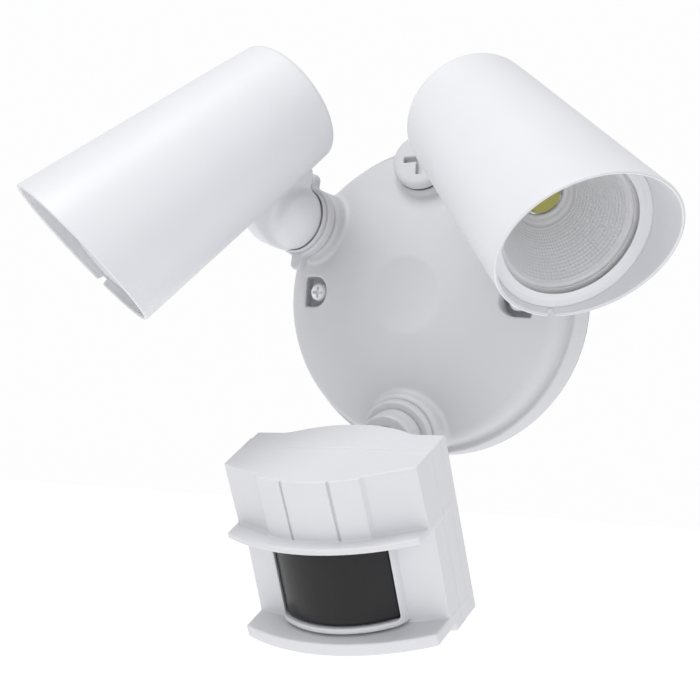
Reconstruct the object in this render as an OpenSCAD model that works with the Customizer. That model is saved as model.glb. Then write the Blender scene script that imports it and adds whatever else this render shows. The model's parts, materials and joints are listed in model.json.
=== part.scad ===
// Twin-head motion floodlight. Millimetres, +Z up, front towards -Y, wall plane y = 0.
// The origin is the centre of the canopy's back face on the wall plane.

/* [Canopy] */
// Outside radius of the canopy rim
canopy_r = 63.5; // [60:0.5:72]
// Depth of the wide rim behind the step
rim_depth = 15.6; // [12:0.2:20]
// Depth from the wall to the edge of the front face
face_depth = 26.7; // [23:0.1:32]
// Radius of the front face where the dome starts
face_r = 60; // [58:0.5:68]
// Rise of the domed front above its edge
dome_rise = 18.7; // [15:0.1:22]
// Thickness of the canopy shell
shell = 2.8; // [2.2:0.1:3.4]
// Radius of the shallow thumb dimple at the centre
dimple_r = 15.7; // [10:0.1:18]

/* [Hubs] */
// Radius of the circle the hubs stand on
hub_r = 53.5; // [50:0.5:56]
// Distance of a hub's reference point from the wall
hub_out = 32.7; // [31:0.1:35]
// Outward tilt of every hub
hub_tilt = 19; // [12:0.5:24]
// Outside radius of a lamp hub boss
boss_r = 14.5; // [13.5:0.1:16]
// Radius of the threaded stubs (half inch pipe thread)
stub_r = 10.3; // [9.6:0.05:10.6]
// Radius of the tapped hub bores
bore_r = 10.65; // [10.65:0.05:11]
// Height of a lamp boss above the reference point
boss_top = 6; // [5:0.1:7]

/* [Lamp joint] */
// Distance of the ball centre from the hub reference point
ball_out = 17.7; // [17:0.1:20]
// Outside radius of the hollow ball
ball_r = 13.5; // [12.5:0.1:14]
// Wall of the hollow ball
ball_wall = 3; // [2.6:0.1:3.2]
// Outside radius of the hollow pivot bolt
bolt_r = 4; // [3.6:0.1:4.2]
// Travel of the lamp tilt each way
tilt_travel = 14; // [8:1:14]
// Half thickness of the web between ball and barrel
web_t = 4.2; // [3.4:0.1:4.6]
// Half angle of the opening under the ball
mouth_a = 44; // [40:1:46]
// Radius of the wire bore through the foot
wire_r = 2.6; // [2:0.1:3]
// Distance of a foot screw from the foot axis
foot_screw_y = 10; // [8:0.5:11]
// Rest angles of the left lamp at its hub, its tilt and its twist
left_swivel = 15.3; // [5:0.1:25]
// Tilt of the left lamp foot from the hub axis
left_tilt = 39.3; // [34:0.1:42]
// Twist of the left lamp about its foot
left_twist = 177.5; // [170:0.1:185]
// Rest angle of the right lamp about its hub
right_swivel = 177; // [170:0.1:185]
// Tilt of the right lamp foot from the hub axis
right_tilt = 39.1; // [34:0.1:42]
// Twist of the right lamp about its foot
right_twist = -168.4; // [-175:0.1:-160]

/* [Lamp head] */
// Outside radius of the hood at its rim
rim_r = 35.7; // [34:0.1:37.5]
// Length from the middle of the rim to the rear face
head_len = 112; // [105:1:122]
// Radius lost towards the rear for each millimetre of length
taper = 0.082; // [0.06:0.002:0.09]
// Distance from the barrel axis to the ball centre
axis_off = 45.7; // [45.3:0.1:48]
// Distance from the rim back to the ball centre
rim_ahead = 93; // [88:0.5:96]
// Wall of the barrel and hood
hood_wall = 2.4; // [2:0.1:2.8]
// Rounding of the rear edge of the barrel
rear_round = 3.2; // [2:0.2:9]
// Slope of the hood opening
hood_slope = 18.4; // [12:0.2:21]
// Angle from the foot round to the long side of the hood
hood_roll = 33.9; // [0:0.1:40]
// Depth of the lens below the middle of the rim
lens_depth = 16; // [14:0.1:20]
// Radius of the clear lens
lens_r = 27.4; // [25.5:0.1:28.4]

/* [Sensor] */
// Width of the sensor housing
sensor_w = 82; // [74:1:90]
// Height of the sensor housing
sensor_h = 74.5; // [72:0.5:80]
// Straight depth of the upper block at its sides
side_d = 29.4; // [27:0.2:32]
// Depth of the upper block at its middle
front_d = 44.8; // [43:0.1:47]
// Height of the upper block above the eyebrow
brow_z = 25.8; // [23:0.1:28]
// Thickness of the eyebrow
brow_t = 2.6; // [2:0.1:3.4]
// Top of the lower shelf below the top face
shelf_z = 66.2; // [62:0.1:67]
// Nose-down tilt of the sensor
sensor_tilt = 26.2; // [20:0.1:30]
// Wall of the sensor housing
sensor_wall = 2.2; // [1.8:0.1:2.6]
// Radius of the sensor ball
sball_r = 7.5; // [7:0.1:7.6]

/* [Box fixing] */
// Spacing of the two box screws
box_spacing = 88.9; // [84:0.1:90]
// Radius of the box screws
screw_r = 2.08; // [1.8:0.01:2.3]

/* [Hidden] */
$fn = 48;
gap = 0.35;
dome_R = (face_r * face_r + dome_rise * dome_rise) / (2 * dome_rise);
dome_c = face_depth + dome_rise - dome_R;
box_x = box_spacing / 2;
// Height of the dome's outside above the wall at radius r
function dome_z(r) = dome_c + sqrt(dome_R * dome_R - r * r);
well_r = 6.1;
well_floor = dome_z(box_x) - 9;
nut_bot = boss_top + gap;
ball_cut = ball_out - 7;
nut_top = ball_cut - gap;
sboss_r = 16;
sarm_r = stub_r + 1.3;
sball_out = 16.5;
scap_z = 16.2;
smouth = 20;
cup_r = ball_r + 0.3;
cup_top = ball_out - 5.1;
seat_top = ball_out - ball_r + 3.4;
nut_r = stub_r + 4.3;
seat_in_r = ball_r - ball_wall - gap - 1.85;
seat_out_r = sball_r + gap + 1.35;
A_LEFT = 150;
A_RIGHT = 30;
A_PLUG = 90;
A_SENSOR = 270;
hood_front = rim_r * tan(hood_slope);
rear_r = rim_r - taper * head_len;
// Outside radius of the barrel at height z on its axis (rim at 0, rear negative)
function barrel_r(z) = rim_r + taper * z;
seat_z = -lens_depth - 3;
bezel_z = -lens_depth + 0.2;
board_z = -lens_depth - 27;
sink_z = board_z - 1.6;
sink_len = head_len + sink_z - 8;
sink_r = barrel_r(-head_len) - hood_wall - 1;
refl_r = lens_r - 0.6;
pad_z = axis_off - barrel_r(-rim_ahead) + hood_wall + 1.4;
half_w = sensor_w / 2;
// Plan of the sensor: the split plane, the front arc and the rear arc
split_y = -14;
front_R = 59.7;
back_rise = 8.7;
back_half = 27;
back_R = (back_half * back_half + back_rise * back_rise) / (2 * back_rise);
stem_y = 31.2;
stem_z = -17.6;
sensor_yaw = -0.3;
sensor_roll = -3;
shelf_t = 5.2;
shelf_front = 49.6;
low_side = 24.3;
lens_R = 36;
lens_front = 42.5;
lens_top = -brow_z - brow_t - 1.6;
lens_bot = -shelf_z + 3.6;
lens_half = 25;
dial_x = 14;
dial_y = -8;
dial_r = 6;

// Wall frame: x right, y up, z out from the wall
module wall() {
    rotate([90, 0, 0]) children();
}

// Hub frame: +z runs out along the tilted hub axis
module hub(a) {
    wall() rotate([0, 0, a]) translate([hub_r, 0, hub_out]) rotate([0, hub_tilt, 0]) children();
}

// Lamp foot frame: origin at the ball centre, +z to the barrel axis, -y forwards
module head(s) {
    hub(s == 0 ? A_LEFT : A_RIGHT) translate([0, 0, ball_out])
        rotate([0, 0, s == 0 ? left_swivel : right_swivel])
            rotate([s == 0 ? left_tilt : right_tilt, 0, 0])
                rotate([0, 0, s == 0 ? left_twist : right_twist])
                    children();
}

// Barrel frame: origin at the middle of the rim, +z forwards along the barrel
module barrel_at(s) {
    head(s) translate([0, -rim_ahead, axis_off]) rotate([90, 0, 0]) children();
}

// Sensor frame: origin at the middle of the top back edge, -y forwards
module sensor_at() {
    hub(A_SENSOR) translate([0, 0, sball_out]) rotate([0, -hub_tilt, 0])
        rotate([0, 0, -A_SENSOR]) rotate([-90, 0, 0])
            rotate([sensor_tilt, sensor_roll, sensor_yaw]) translate([0, -stem_y, -stem_z]) children();
}

// Flat ring
module ring(ro, ri, h) {
    difference() {
        cylinder(r = ro, h = h);
        translate([0, 0, -1]) cylinder(r = ri, h = h + 2);
    }
}

// ---- base ----

module dome_solid(d) {
    cylinder(r = canopy_r - d, h = rim_depth - d);
    translate([0, 0, rim_depth - d - 0.5])
        cylinder(r1 = face_r + 0.7 - d, r2 = face_r - d, h = face_depth - rim_depth + 0.5);
    intersection() {
        translate([0, 0, dome_c]) sphere(r = dome_R - d, $fn = 96);
        translate([0, 0, face_depth - d - 0.01]) cylinder(r = face_r - d, h = dome_rise + 5);
    }
}

// D-shaped well for a box screw, round side inwards
module well(r, z0, out) {
    translate([box_x, 0, z0]) {
        cylinder(r = r, h = 30);
        translate([0, -r, 0]) cube([out, 2 * r, 30]);
    }
}

module hub_boss(a, r, top, low) {
    hub(a) {
        translate([0, 0, low]) cylinder(r = r, h = top - 2 - low);
        translate([0, 0, top - 2]) cylinder(r1 = r, r2 = r - 0.8, h = 1.4);
        translate([0, 0, top - 0.6]) cylinder(r1 = r - 0.8, r2 = r - 2, h = 0.6);
    }
}

module canopy_cover() color([0.93, 0.94, 0.95]) {
    difference() {
        union() {
            difference() {
                wall() translate([0, 0, 1.5]) dome_shell();
                // the well and hub cores are opened below
            }
            for (a = [A_LEFT, A_RIGHT]) hub_boss(a, boss_r, boss_top, -9);
            hub_boss(A_SENSOR, sboss_r, boss_top, -9);
            hub_boss(A_PLUG, 13, 2, -9);
            wall() for (m = [0, 1]) mirror([m, 0, 0]) intersection() {
                well(well_r + 1.8, well_floor - 1.8, 7.5);
                dome_solid(1);
            }
            wall() intersection() {
                for (y = [-23, 23]) translate([0, y, 24]) cylinder(r = 3.6, h = 30);
                dome_solid(1);
            }
        }
        wall() for (m = [0, 1]) mirror([m, 0, 0]) {
            well(well_r, well_floor, 6);
            translate([box_x, 0, -1]) cylinder(r = screw_r + 0.5, h = 40);
        }
        for (a = [A_LEFT, A_RIGHT, A_PLUG, A_SENSOR]) hub(a) {
            translate([0, 0, -30]) cylinder(r = bore_r, h = 60);
        }
        for (a = [A_LEFT, A_RIGHT, A_SENSOR]) hub(a)
            translate([0, 0, boss_top - 0.8]) ring(bore_r + 1.95, bore_r + 0.55, 2);
        wall() for (y = [-23, 23]) translate([0, y, 22]) cylinder(r = 1.2, h = 12);
        wall() translate([0, 0, dome_z(dimple_r) + sqrt(3600 - dimple_r * dimple_r)])
            sphere(r = 60, $fn = 96);
    }
}

module dome_shell() {
    difference() {
        translate([0, 0, -1.5]) intersection() {
            dome_solid(0);
            translate([-100, -100, 1.5]) cube([200, 200, 100]);
        }
        translate([0, 0, -1.5]) difference() {
            dome_solid(shell);
            translate([0, 0, dome_z(0) - 6.4]) cylinder(r = dimple_r + 2.5, h = 20);
        }
        translate([0, 0, -1]) cylinder(r = canopy_r - shell, h = 3);
    }
}

module wall_gasket() color([0.2, 0.2, 0.21])
    wall() ring(canopy_r - 0.6, canopy_r - 6.5, 1.5);

module mounting_strap() color([0.75, 0.76, 0.78]) wall() translate([0, 0, 1.7]) difference() {
    union() {
        translate([-52, -8, 0]) cube([104, 16, 1.6]);
        cylinder(r = 14, h = 1.6);
    }
    translate([0, 0, -1]) cylinder(r = 5.2, h = 4);
    for (m = [-1, 1]) translate([m * box_x, 0, -1]) cylinder(r = screw_r + 0.12, h = 4);
    for (a = [45, 225]) rotate([0, 0, a]) translate([9.6, 0, -1]) cylinder(r = 1.7, h = 4);
    translate([24, 0, -1]) cylinder(r = 1.7, h = 4);
}

module mounting_screws() color([0.9, 0.9, 0.91]) wall()
    for (m = [-1, 1]) translate([m * box_x, 0, 0]) {
        translate([0, 0, -14]) cylinder(r = screw_r, h = 15.3);
        translate([0, 0, 1.2]) cylinder(r = screw_r + 0.12, h = well_floor - 0.7);
        translate([0, 0, well_floor]) cylinder(r = 3.7, h = 5.5);
        translate([0, 0, well_floor + 5.5]) cylinder(r1 = 3.7, r2 = 2.9, h = 1.1);
        translate([0, 0, well_floor + 6.6]) cylinder(r1 = 2.9, r2 = 1.6, h = 0.6);
    }

module ground_screw() color([0.2, 0.5, 0.3]) wall() translate([24, 0, -4.5]) difference() {
    union() {
        cylinder(r = 1.7, h = 7.8);
        translate([0, 0, 7.8]) cylinder(r = 4, h = 2);
    }
    translate([-5, -0.5, 9]) cube([10, 1, 2]);
}

module led_driver() color([0.16, 0.16, 0.17]) wall() difference() {
    union() {
        translate([-29, -18, 7]) cube([58, 36, 15]);
        translate([-27.5, -16.5, 21.9]) cube([55, 33, 1.1]);
        translate([-6, -28, 21]) cube([12, 56, 2.9]);
    }
    for (y = [-23, 23]) translate([0, y, 15]) cylinder(r = 1.2, h = 12);
}

module driver_screws() color([0.6, 0.61, 0.63]) wall() for (y = [-23, 23]) translate([0, y, 0]) {
    translate([0, 0, 20.9 - 2]) cylinder(r = 2.6, h = 2.1);
    translate([0, 0, 20.5]) cylinder(r = 1.2, h = 9);
}

module hub_plug() color([0.92, 0.93, 0.94]) hub(A_PLUG) difference() {
    union() {
        translate([0, 0, -6]) cylinder(r = bore_r - 0.05, h = 9);
        translate([0, 0, 2.8]) cylinder(r = bore_r + 1.35, h = 2.4);
        translate([0, 0, 5.2]) cylinder(r1 = bore_r + 1.35, r2 = bore_r + 0.55, h = 1);
        translate([0, 0, 6.2]) cylinder(r1 = bore_r + 0.55, r2 = 9, h = 0.7);
    }
    translate([0, 0, -8]) cylinder(r = 7.5, h = 9);
    for (a = [0, 90]) rotate([0, 0, a + 8]) translate([-6.8, -1.2, 4.9]) cube([13.6, 2.4, 5]);
}

module plug_gasket() color([0.15, 0.15, 0.16]) hub(A_PLUG) translate([0, 0, 2])
    ring(bore_r + 1.35, bore_r + 0.1, 0.8);

module hub_seals() color([0.15, 0.15, 0.16]) for (a = [A_LEFT, A_RIGHT, A_SENSOR]) hub(a)
    translate([0, 0, boss_top - 0.8]) ring(bore_r + 1.95, bore_r + 0.55, 0.8);

// ---- lamp arm ----

// Locknut on a stub; with wings its rim also carries the ball
module locknut(a, wing) {
    color([0.9, 0.91, 0.93]) hub(a) difference() {
        union() {
            translate([0, 0, nut_bot]) {
                cylinder(r1 = nut_r - 0.8, r2 = nut_r, h = 0.7);
                translate([0, 0, 0.7]) cylinder(r = nut_r, h = nut_top - nut_bot - 1.4);
                translate([0, 0, nut_top - nut_bot - 0.7]) cylinder(r1 = nut_r, r2 = nut_r - 0.8, h = 0.7);
                if (wing != 0) for (q = [0, 180]) rotate([0, 0, wing + q]) {
                    translate([12, -3, 0]) cube([5.4, 6, nut_top - nut_bot]);
                    translate([17.4, 0, 0]) cylinder(r = 3, h = nut_top - nut_bot);
                }
            }
            if (wing != 0) {
                translate([0, 0, nut_top - 0.1]) cylinder(r = 13.2, h = gap + 0.2);
                translate([0, 0, ball_cut]) cylinder(r = cup_r, h = cup_top - ball_cut - 0.5);
                translate([0, 0, cup_top - 0.5]) cylinder(r1 = cup_r, r2 = cup_r - 0.4, h = 0.5);
            }
        }
        translate([0, 0, nut_bot - 1]) cylinder(r = stub_r + gap, h = 10);
        if (wing != 0) translate([0, 0, ball_out]) sphere(r = ball_r + gap, $fn = 72);
    }
}

// Hollow threaded stub with the lower ring of the ball seat on its end
module arm(s) {
    color([0.9, 0.91, 0.93]) hub(s == 0 ? A_LEFT : A_RIGHT) difference() {
        union() {
            translate([0, 0, -8]) cylinder(r1 = stub_r - 0.6, r2 = stub_r, h = 0.8);
            translate([0, 0, -7.2]) cylinder(r = stub_r, h = seat_top + 7.2);
        }
        translate([0, 0, ball_out]) sphere(r = ball_r + gap, $fn = 72);
        translate([0, 0, -10]) cylinder(r = 7.4, h = 10);
        cylinder(r = bolt_r + 0.03, h = 20);
    }
}

// Frame at a ball with x on the tilt axis and z along the hub
module seat_at(s) {
    hub(s == 0 ? A_LEFT : A_RIGHT) translate([0, 0, ball_out])
        rotate([0, 0, s == 0 ? left_swivel : right_swivel]) children();
}

// Cupped slip washer inside the ball, slotted across the tilt axis for the bolt
module seat_washer(s) {
    ro = ball_r - ball_wall - gap;
    ri = seat_in_r;
    w = bolt_r + gap + 0.1;
    t = ri * sin(tilt_travel) + 0.6;
    color([0.55, 0.56, 0.58]) seat_at(s) difference() {
        rotate_extrude($fn = 72) polygon(concat(
            [for (q = [0 : 10 : 60]) [ro * sin(q), -ro * cos(q)]],
            [for (q = [55 : -11 : 0]) [ri * sin(q), -ri * cos(q)]]));
        translate([0, 0, -14]) linear_extrude(13) hull() for (m = [-1, 1])
            translate([0, m * t]) circle(r = w);
    }
}

// Nut with a domed underside inside the washer
module seat_nut(s) {
    color([0.7, 0.71, 0.73]) seat_at(s) difference() {
        intersection() {
            translate([0, 0, -8]) cylinder(r = 6.2, h = 5.4, $fn = 6);
            sphere(r = seat_in_r - gap, $fn = 72);
        }
        translate([0, 0, -12]) cylinder(r = bolt_r + 0.03, h = 20);
    }
}

// ---- lamp head ----

module barrel_cone(d, z0, z1) {
    translate([0, 0, z0]) cylinder(r1 = barrel_r(z0) - d, r2 = barrel_r(z1) - d, h = z1 - z0);
}

// Side view of the web between ball and barrel: x is forwards, y runs to the barrel
module web_plan() {
    polygon([[0, 0], [9.6, -9.5], [13, -6.2], [15.5, -3.2], [17.4, 0.6], [18.7, 5], [19.6, 10],
        [20.3, 14], [21.5, 17], [21.5, 26], [-15.4, 26], [-15.4, 14], [-14.6, 11.2], [-12.9, 9],
        [-10.9, 7.9]]);
}

module foot(s) {
    color([0.88, 0.89, 0.91]) difference() {
        head(s) difference() {
            union() {
                sphere(r = ball_r, $fn = 72);
                translate([-web_t, 0, 0]) rotate([90, 0, 90]) linear_extrude(2 * web_t)
                    mirror([1, 0]) web_plan();
            }
            sphere(r = ball_r - ball_wall, $fn = 72);
            cylinder(r = wire_r, h = 40);
            for (y = [-foot_screw_y, foot_screw_y]) translate([0, y, 12]) cylinder(r = 1.4, h = 20);
        }
        // opening for the bolt, swept by the tilt and the twist
        hub(s == 0 ? A_LEFT : A_RIGHT) translate([0, 0, ball_out - ball_r * cos(mouth_a) - 4])
            cylinder(r1 = ball_r * sin(mouth_a) + 4.5, r2 = ball_r * sin(mouth_a) - 3.6, h = 7.2);
        barrel_at(s) barrel_cone(0, -head_len - 6, 10);
    }
}

module pivot_bolt(s) {
    color([0.7, 0.71, 0.73]) hub(s == 0 ? A_LEFT : A_RIGHT) difference() {
        union() {
            translate([0, 0, -2.6]) cylinder(r = 6.4, h = 2.6);
            translate([0, 0, -0.1]) cylinder(r = bolt_r, h = ball_out + 0.6);
        }
        translate([0, 0, -5]) cylinder(r = 2.4, h = 40);
    }
}

module foot_screws(s) {
    color([0.7, 0.71, 0.73]) head(s) for (y = [-foot_screw_y, foot_screw_y]) translate([0, y, 0]) {
        translate([0, 0, 12.5]) cylinder(r = 1.37, h = pad_z + 0.2 - 12.5);
        translate([0, 0, pad_z]) cylinder(r = 2.6, h = 1.8);
    }
}

module barrel_profile(d, r0) {
    z0 = -head_len + d;
    zc = z0 + r0;
    rc = barrel_r(zc) - (d > 0 ? hood_wall : 0);
    union() {
        translate([0, z0]) square([rc - r0, r0 + 1]);
        translate([rc - r0, zc]) circle(r = r0);
        polygon([[0, zc], [rc, zc], [barrel_r(20) - (d > 0 ? hood_wall : 0), 20], [0, 20]]);
    }
}

module lamp_barrel(s) {
    color([0.94, 0.95, 0.96]) difference() {
        barrel_at(s) difference() {
            rotate_extrude($fn = 96) intersection() {
                barrel_profile(0, rear_round);
                translate([0, -200]) square([100, 300]);
            }
            rotate_extrude($fn = 96) intersection() {
                barrel_profile(3, rear_round - 1.2);
                translate([0, -200]) square([100, 300]);
            }
            rotate([0, 0, -hood_roll]) rotate([hood_slope, 0, 0])
                translate([-80, -80, 0]) cube([160, 160, 60]);
            rotate([0, 0, -hood_roll]) translate([-1.5, -rim_r - 6, -hood_front - 3])
                cube([3, 12, 10]);
        }
        foot_holes(s);
    }
    // flat pad inside, under the foot screws
    color([0.94, 0.95, 0.96]) difference() {
        intersection() {
            head(s) translate([-4.5, -14, pad_z - 3.6]) cube([9, 28, 3.6]);
            barrel_at(s) barrel_cone(0.6, -head_len + 4, -50);
        }
        foot_holes(s);
    }
}

module foot_holes(s) {
    head(s) {
        cylinder(r = wire_r, h = axis_off - 6);
        for (y = [-foot_screw_y, foot_screw_y]) translate([0, y, 0]) cylinder(r = 1.6, h = axis_off - 6);
    }
}

module heat_sink(s) {
    color([0.72, 0.73, 0.75]) difference() {
        barrel_at(s) difference() {
            union() {
                translate([0, 0, sink_z - 6]) cylinder(r = barrel_r(sink_z - 6) - hood_wall - gap, h = 6);
                for (x = [-15 : 6 : 15]) translate([x - 1, -sqrt(sink_r * sink_r - x * x), sink_z - 34])
                    cube([2, 2 * sqrt(sink_r * sink_r - x * x), 29]);
                translate([0, 0, sink_z - 34]) cylinder(r = 9, h = 29);
            }
            for (m = [-1, 1]) translate([m * 12, 0, sink_z - 7]) cylinder(r = 1.3, h = 10);
            translate([0, 12, sink_z - 8]) cylinder(r = 2, h = 12);
        }
        head(s) cylinder(r = 9, h = axis_off - 8);
    }
}

module sink_screws(s) {
    color([0.6, 0.61, 0.63]) barrel_at(s) for (m = [-1, 1]) translate([m * 12, 0, 0]) {
        translate([0, 0, sink_z - 6]) cylinder(r = 1.3, h = 8.4);
        translate([0, 0, board_z]) cylinder(r = 2.4, h = 1.4);
    }
}

module led_board(s) {
    color([0.9, 0.9, 0.88]) barrel_at(s) difference() {
        translate([0, 0, sink_z]) cylinder(r = 18, h = 1.6);
        for (m = [-1, 1]) translate([m * 12, 0, sink_z - 1]) cylinder(r = 1.3, h = 4);
        translate([0, 12, sink_z - 1]) cylinder(r = 2, h = 4);
    }
}

module cob_led(s) {
    color([0.85, 0.78, 0.15]) barrel_at(s) {
        translate([-7, -7, board_z]) cube([14, 14, 1]);
        translate([0, 0, board_z + 1]) intersection() {
            translate([0, 0, -4]) sphere(r = 7.2);
            cylinder(r = 6, h = 8);
        }
    }
}

module reflector(s) {
    color([0.85, 0.86, 0.87]) barrel_at(s) difference() {
        union() {
            translate([0, 0, board_z + 1.8])
                cylinder(r1 = 10.5, r2 = refl_r, h = -lens_depth - 3 - board_z - 1.8);
            translate([0, 0, seat_z - 1.6]) cylinder(r = barrel_r(seat_z - 1.6) - hood_wall - gap, h = 1.6);
        }
        translate([0, 0, board_z + 0.8])
            cylinder(r1 = 8.2, r2 = refl_r - 1.5, h = -lens_depth - 3 - board_z - 0.7);
    }
}

module lens_gasket(s) {
    color([0.12, 0.12, 0.13]) barrel_at(s) translate([0, 0, seat_z]) ring(lens_r + 3, lens_r - 0.9, 0.8);
}

module lamp_lens(s) {
    color([0.85, 0.9, 0.92]) barrel_at(s) translate([0, 0, seat_z + 0.8]) cylinder(r = lens_r + 2.8, h = 2);
}

module bezel(s) {
    color([0.93, 0.94, 0.95]) barrel_at(s) difference() {
        translate([0, 0, seat_z]) cylinder(r1 = barrel_r(seat_z) - hood_wall - 0.03,
            r2 = barrel_r(seat_z + 4.6) - hood_wall - 0.03, h = 4.6);
        translate([0, 0, seat_z - 1]) cylinder(r = lens_r + 3, h = 3.8);
        translate([0, 0, seat_z + 2.7]) cylinder(r = lens_r, h = 4);
        translate([0, 0, seat_z + 3.4]) cylinder(r1 = lens_r, r2 = lens_r + 3, h = 1.9);
    }
}

// ---- sensor ----

module sensor_arm() color([0.9, 0.91, 0.93]) hub(A_SENSOR) difference() {
    union() {
        translate([0, 0, -8]) cylinder(r1 = stub_r - 0.6, r2 = stub_r, h = 0.8);
        translate([0, 0, -7.2]) cylinder(r = stub_r, h = 20);
        translate([0, 0, ball_cut]) cylinder(r = sarm_r, h = scap_z - ball_cut);
    }
    translate([0, 0, sball_out]) sphere(r = seat_out_r + gap, $fn = 72);
    translate([0, 0, -10]) cylinder(r = 6.5, h = 20);
}

module sensor_cap() color([0.8, 0.81, 0.83]) hub(A_SENSOR) difference() {
    union() {
        translate([0, 0, scap_z]) cylinder(r = sarm_r, h = smouth - scap_z - 0.6);
        translate([0, 0, smouth - 0.6]) cylinder(r1 = sarm_r, r2 = sarm_r - 0.6, h = 0.6);
    }
    translate([0, 0, sball_out]) sphere(r = sball_r + gap, $fn = 72);
}

// Cupped friction seat behind the sensor ball
module sensor_seat_cup() color([0.6, 0.61, 0.63]) hub(A_SENSOR) translate([0, 0, sball_out]) difference() {
    intersection() {
        sphere(r = seat_out_r, $fn = 72);
        translate([0, 0, -20]) cylinder(r = 6.8, h = 20);
    }
    sphere(r = sball_r + gap, $fn = 72);
    translate([0, 0, -20]) cylinder(r = 3.4, h = 20);
}

module sensor_stem() color([0.94, 0.95, 0.96]) sensor_at() translate([0, stem_y, stem_z]) difference() {
    union() {
        sphere(r = sball_r, $fn = 72);
        rotate([90, 0, 0]) cylinder(r = 4.2, h = stem_y - back_rise + sensor_wall + 6.4);
        translate([0, -(stem_y - back_rise) + 2.6, 0]) rotate([90, 0, 0]) cylinder(r = 8, h = 3.4);
    }
    rotate([90, 0, 0]) translate([0, 0, -20]) cylinder(r = 2.2, h = 70);
}

module sensor_stem_nut() color([0.7, 0.71, 0.73]) sensor_at()
    translate([0, back_rise - sensor_wall - 1.05, stem_z]) rotate([90, 0, 0]) difference() {
        cylinder(r = 8.4, h = 4.2, $fn = 6);
        translate([0, 0, -1]) cylinder(r = 4.2, h = 8);
    }

// Full-height rear plan of the sensor, drawn in by d
module rear_plan(d) {
    intersection() {
        union() {
            translate([-half_w + d, split_y - 1]) square([sensor_w - 2 * d, 1 - split_y - d]);
            translate([0, back_rise - back_R]) circle(r = back_R - d, $fn = 96);
        }
        translate([-half_w + d, split_y - 1]) square([sensor_w - 2 * d, 40]);
    }
}

// Plan of the upper front block
module brow_plan(d) {
    union() {
        polygon([[-half_w + d, split_y + 2], [half_w - d, split_y + 2], [half_w - d, -side_d + d * 0.6],
            [22 - d * 0.3, -39.4 + d], [-22 + d * 0.3, -39.4 + d], [-half_w + d, -side_d + d * 0.6]]);
        intersection() {
            translate([0, front_R - front_d]) circle(r = front_R - d, $fn = 96);
            translate([-22 + d, -60]) square([44 - 2 * d, 40]);
        }
    }
}

// Plan of the lower block behind the lens
module low_plan(d) {
    polygon([[-half_w + d, split_y + 2], [half_w - d, split_y + 2], [half_w - d, -low_side + d * 0.6],
        [lens_half + 2, -29 + d], [-lens_half - 2, -29 + d], [-half_w + d, -low_side + d * 0.6]]);
}

// Plan of the eyebrow and the lower shelf
module shelf_plan() {
    R = 75;
    intersection() {
        translate([-half_w, -60]) square([sensor_w, 60 + split_y + 2]);
        translate([0, R - shelf_front]) circle(r = R, $fn = 96);
    }
}

// Plan of the lens bay, drawn out by d
module bay_plan(d) {
    intersection() {
        translate([0, lens_R - lens_front]) circle(r = lens_R + d, $fn = 96);
        translate([-lens_half - d, -60]) square([2 * lens_half + 2 * d, 36]);
    }
}

module sensor_back() color([0.92, 0.93, 0.94]) sensor_at() difference() {
    translate([0, 0, -sensor_h]) linear_extrude(sensor_h) intersection() {
        rear_plan(0);
        translate([-60, split_y]) square([120, 60]);
    }
    difference() {
        translate([0, 0, -sensor_h + sensor_wall]) linear_extrude(sensor_h - 2 * sensor_wall)
            rear_plan(sensor_wall);
        // screw posts in the four corners
        for (x = [-1, 1], z = [-10, -sensor_h + 13]) translate([x * (half_w - 7), 10, z])
            rotate([90, 0, 0]) cylinder(r = 3.4, h = 40);
        // flat boss under the stem nut
        translate([0, back_rise - sensor_wall - 1, stem_z]) rotate([-90, 0, 0]) cylinder(r = 9.6, h = 10);
    }
    for (x = [-1, 1], z = [-10, -sensor_h + 13]) translate([x * (half_w - 7), 0, z])
        rotate([90, 0, 0]) {
            translate([0, 0, -10]) cylinder(r = 1.7, h = 60);
            translate([0, 0, -10]) cylinder(r = 2.9, h = 13.4);
        }
    translate([0, 60, stem_z]) rotate([90, 0, 0]) cylinder(r = 4.25, h = 70);
    translate([0, 60, stem_z]) rotate([90, 0, 0]) cylinder(r = 8.05, h = 60 - back_rise + 0.8);
    for (x = [-dial_x, dial_x]) translate([x, dial_y, -sensor_h - 1]) {
        cylinder(r = dial_r + 1.4, h = 2.4);
        cylinder(r = 2.4, h = 8);
    }
}

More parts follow.
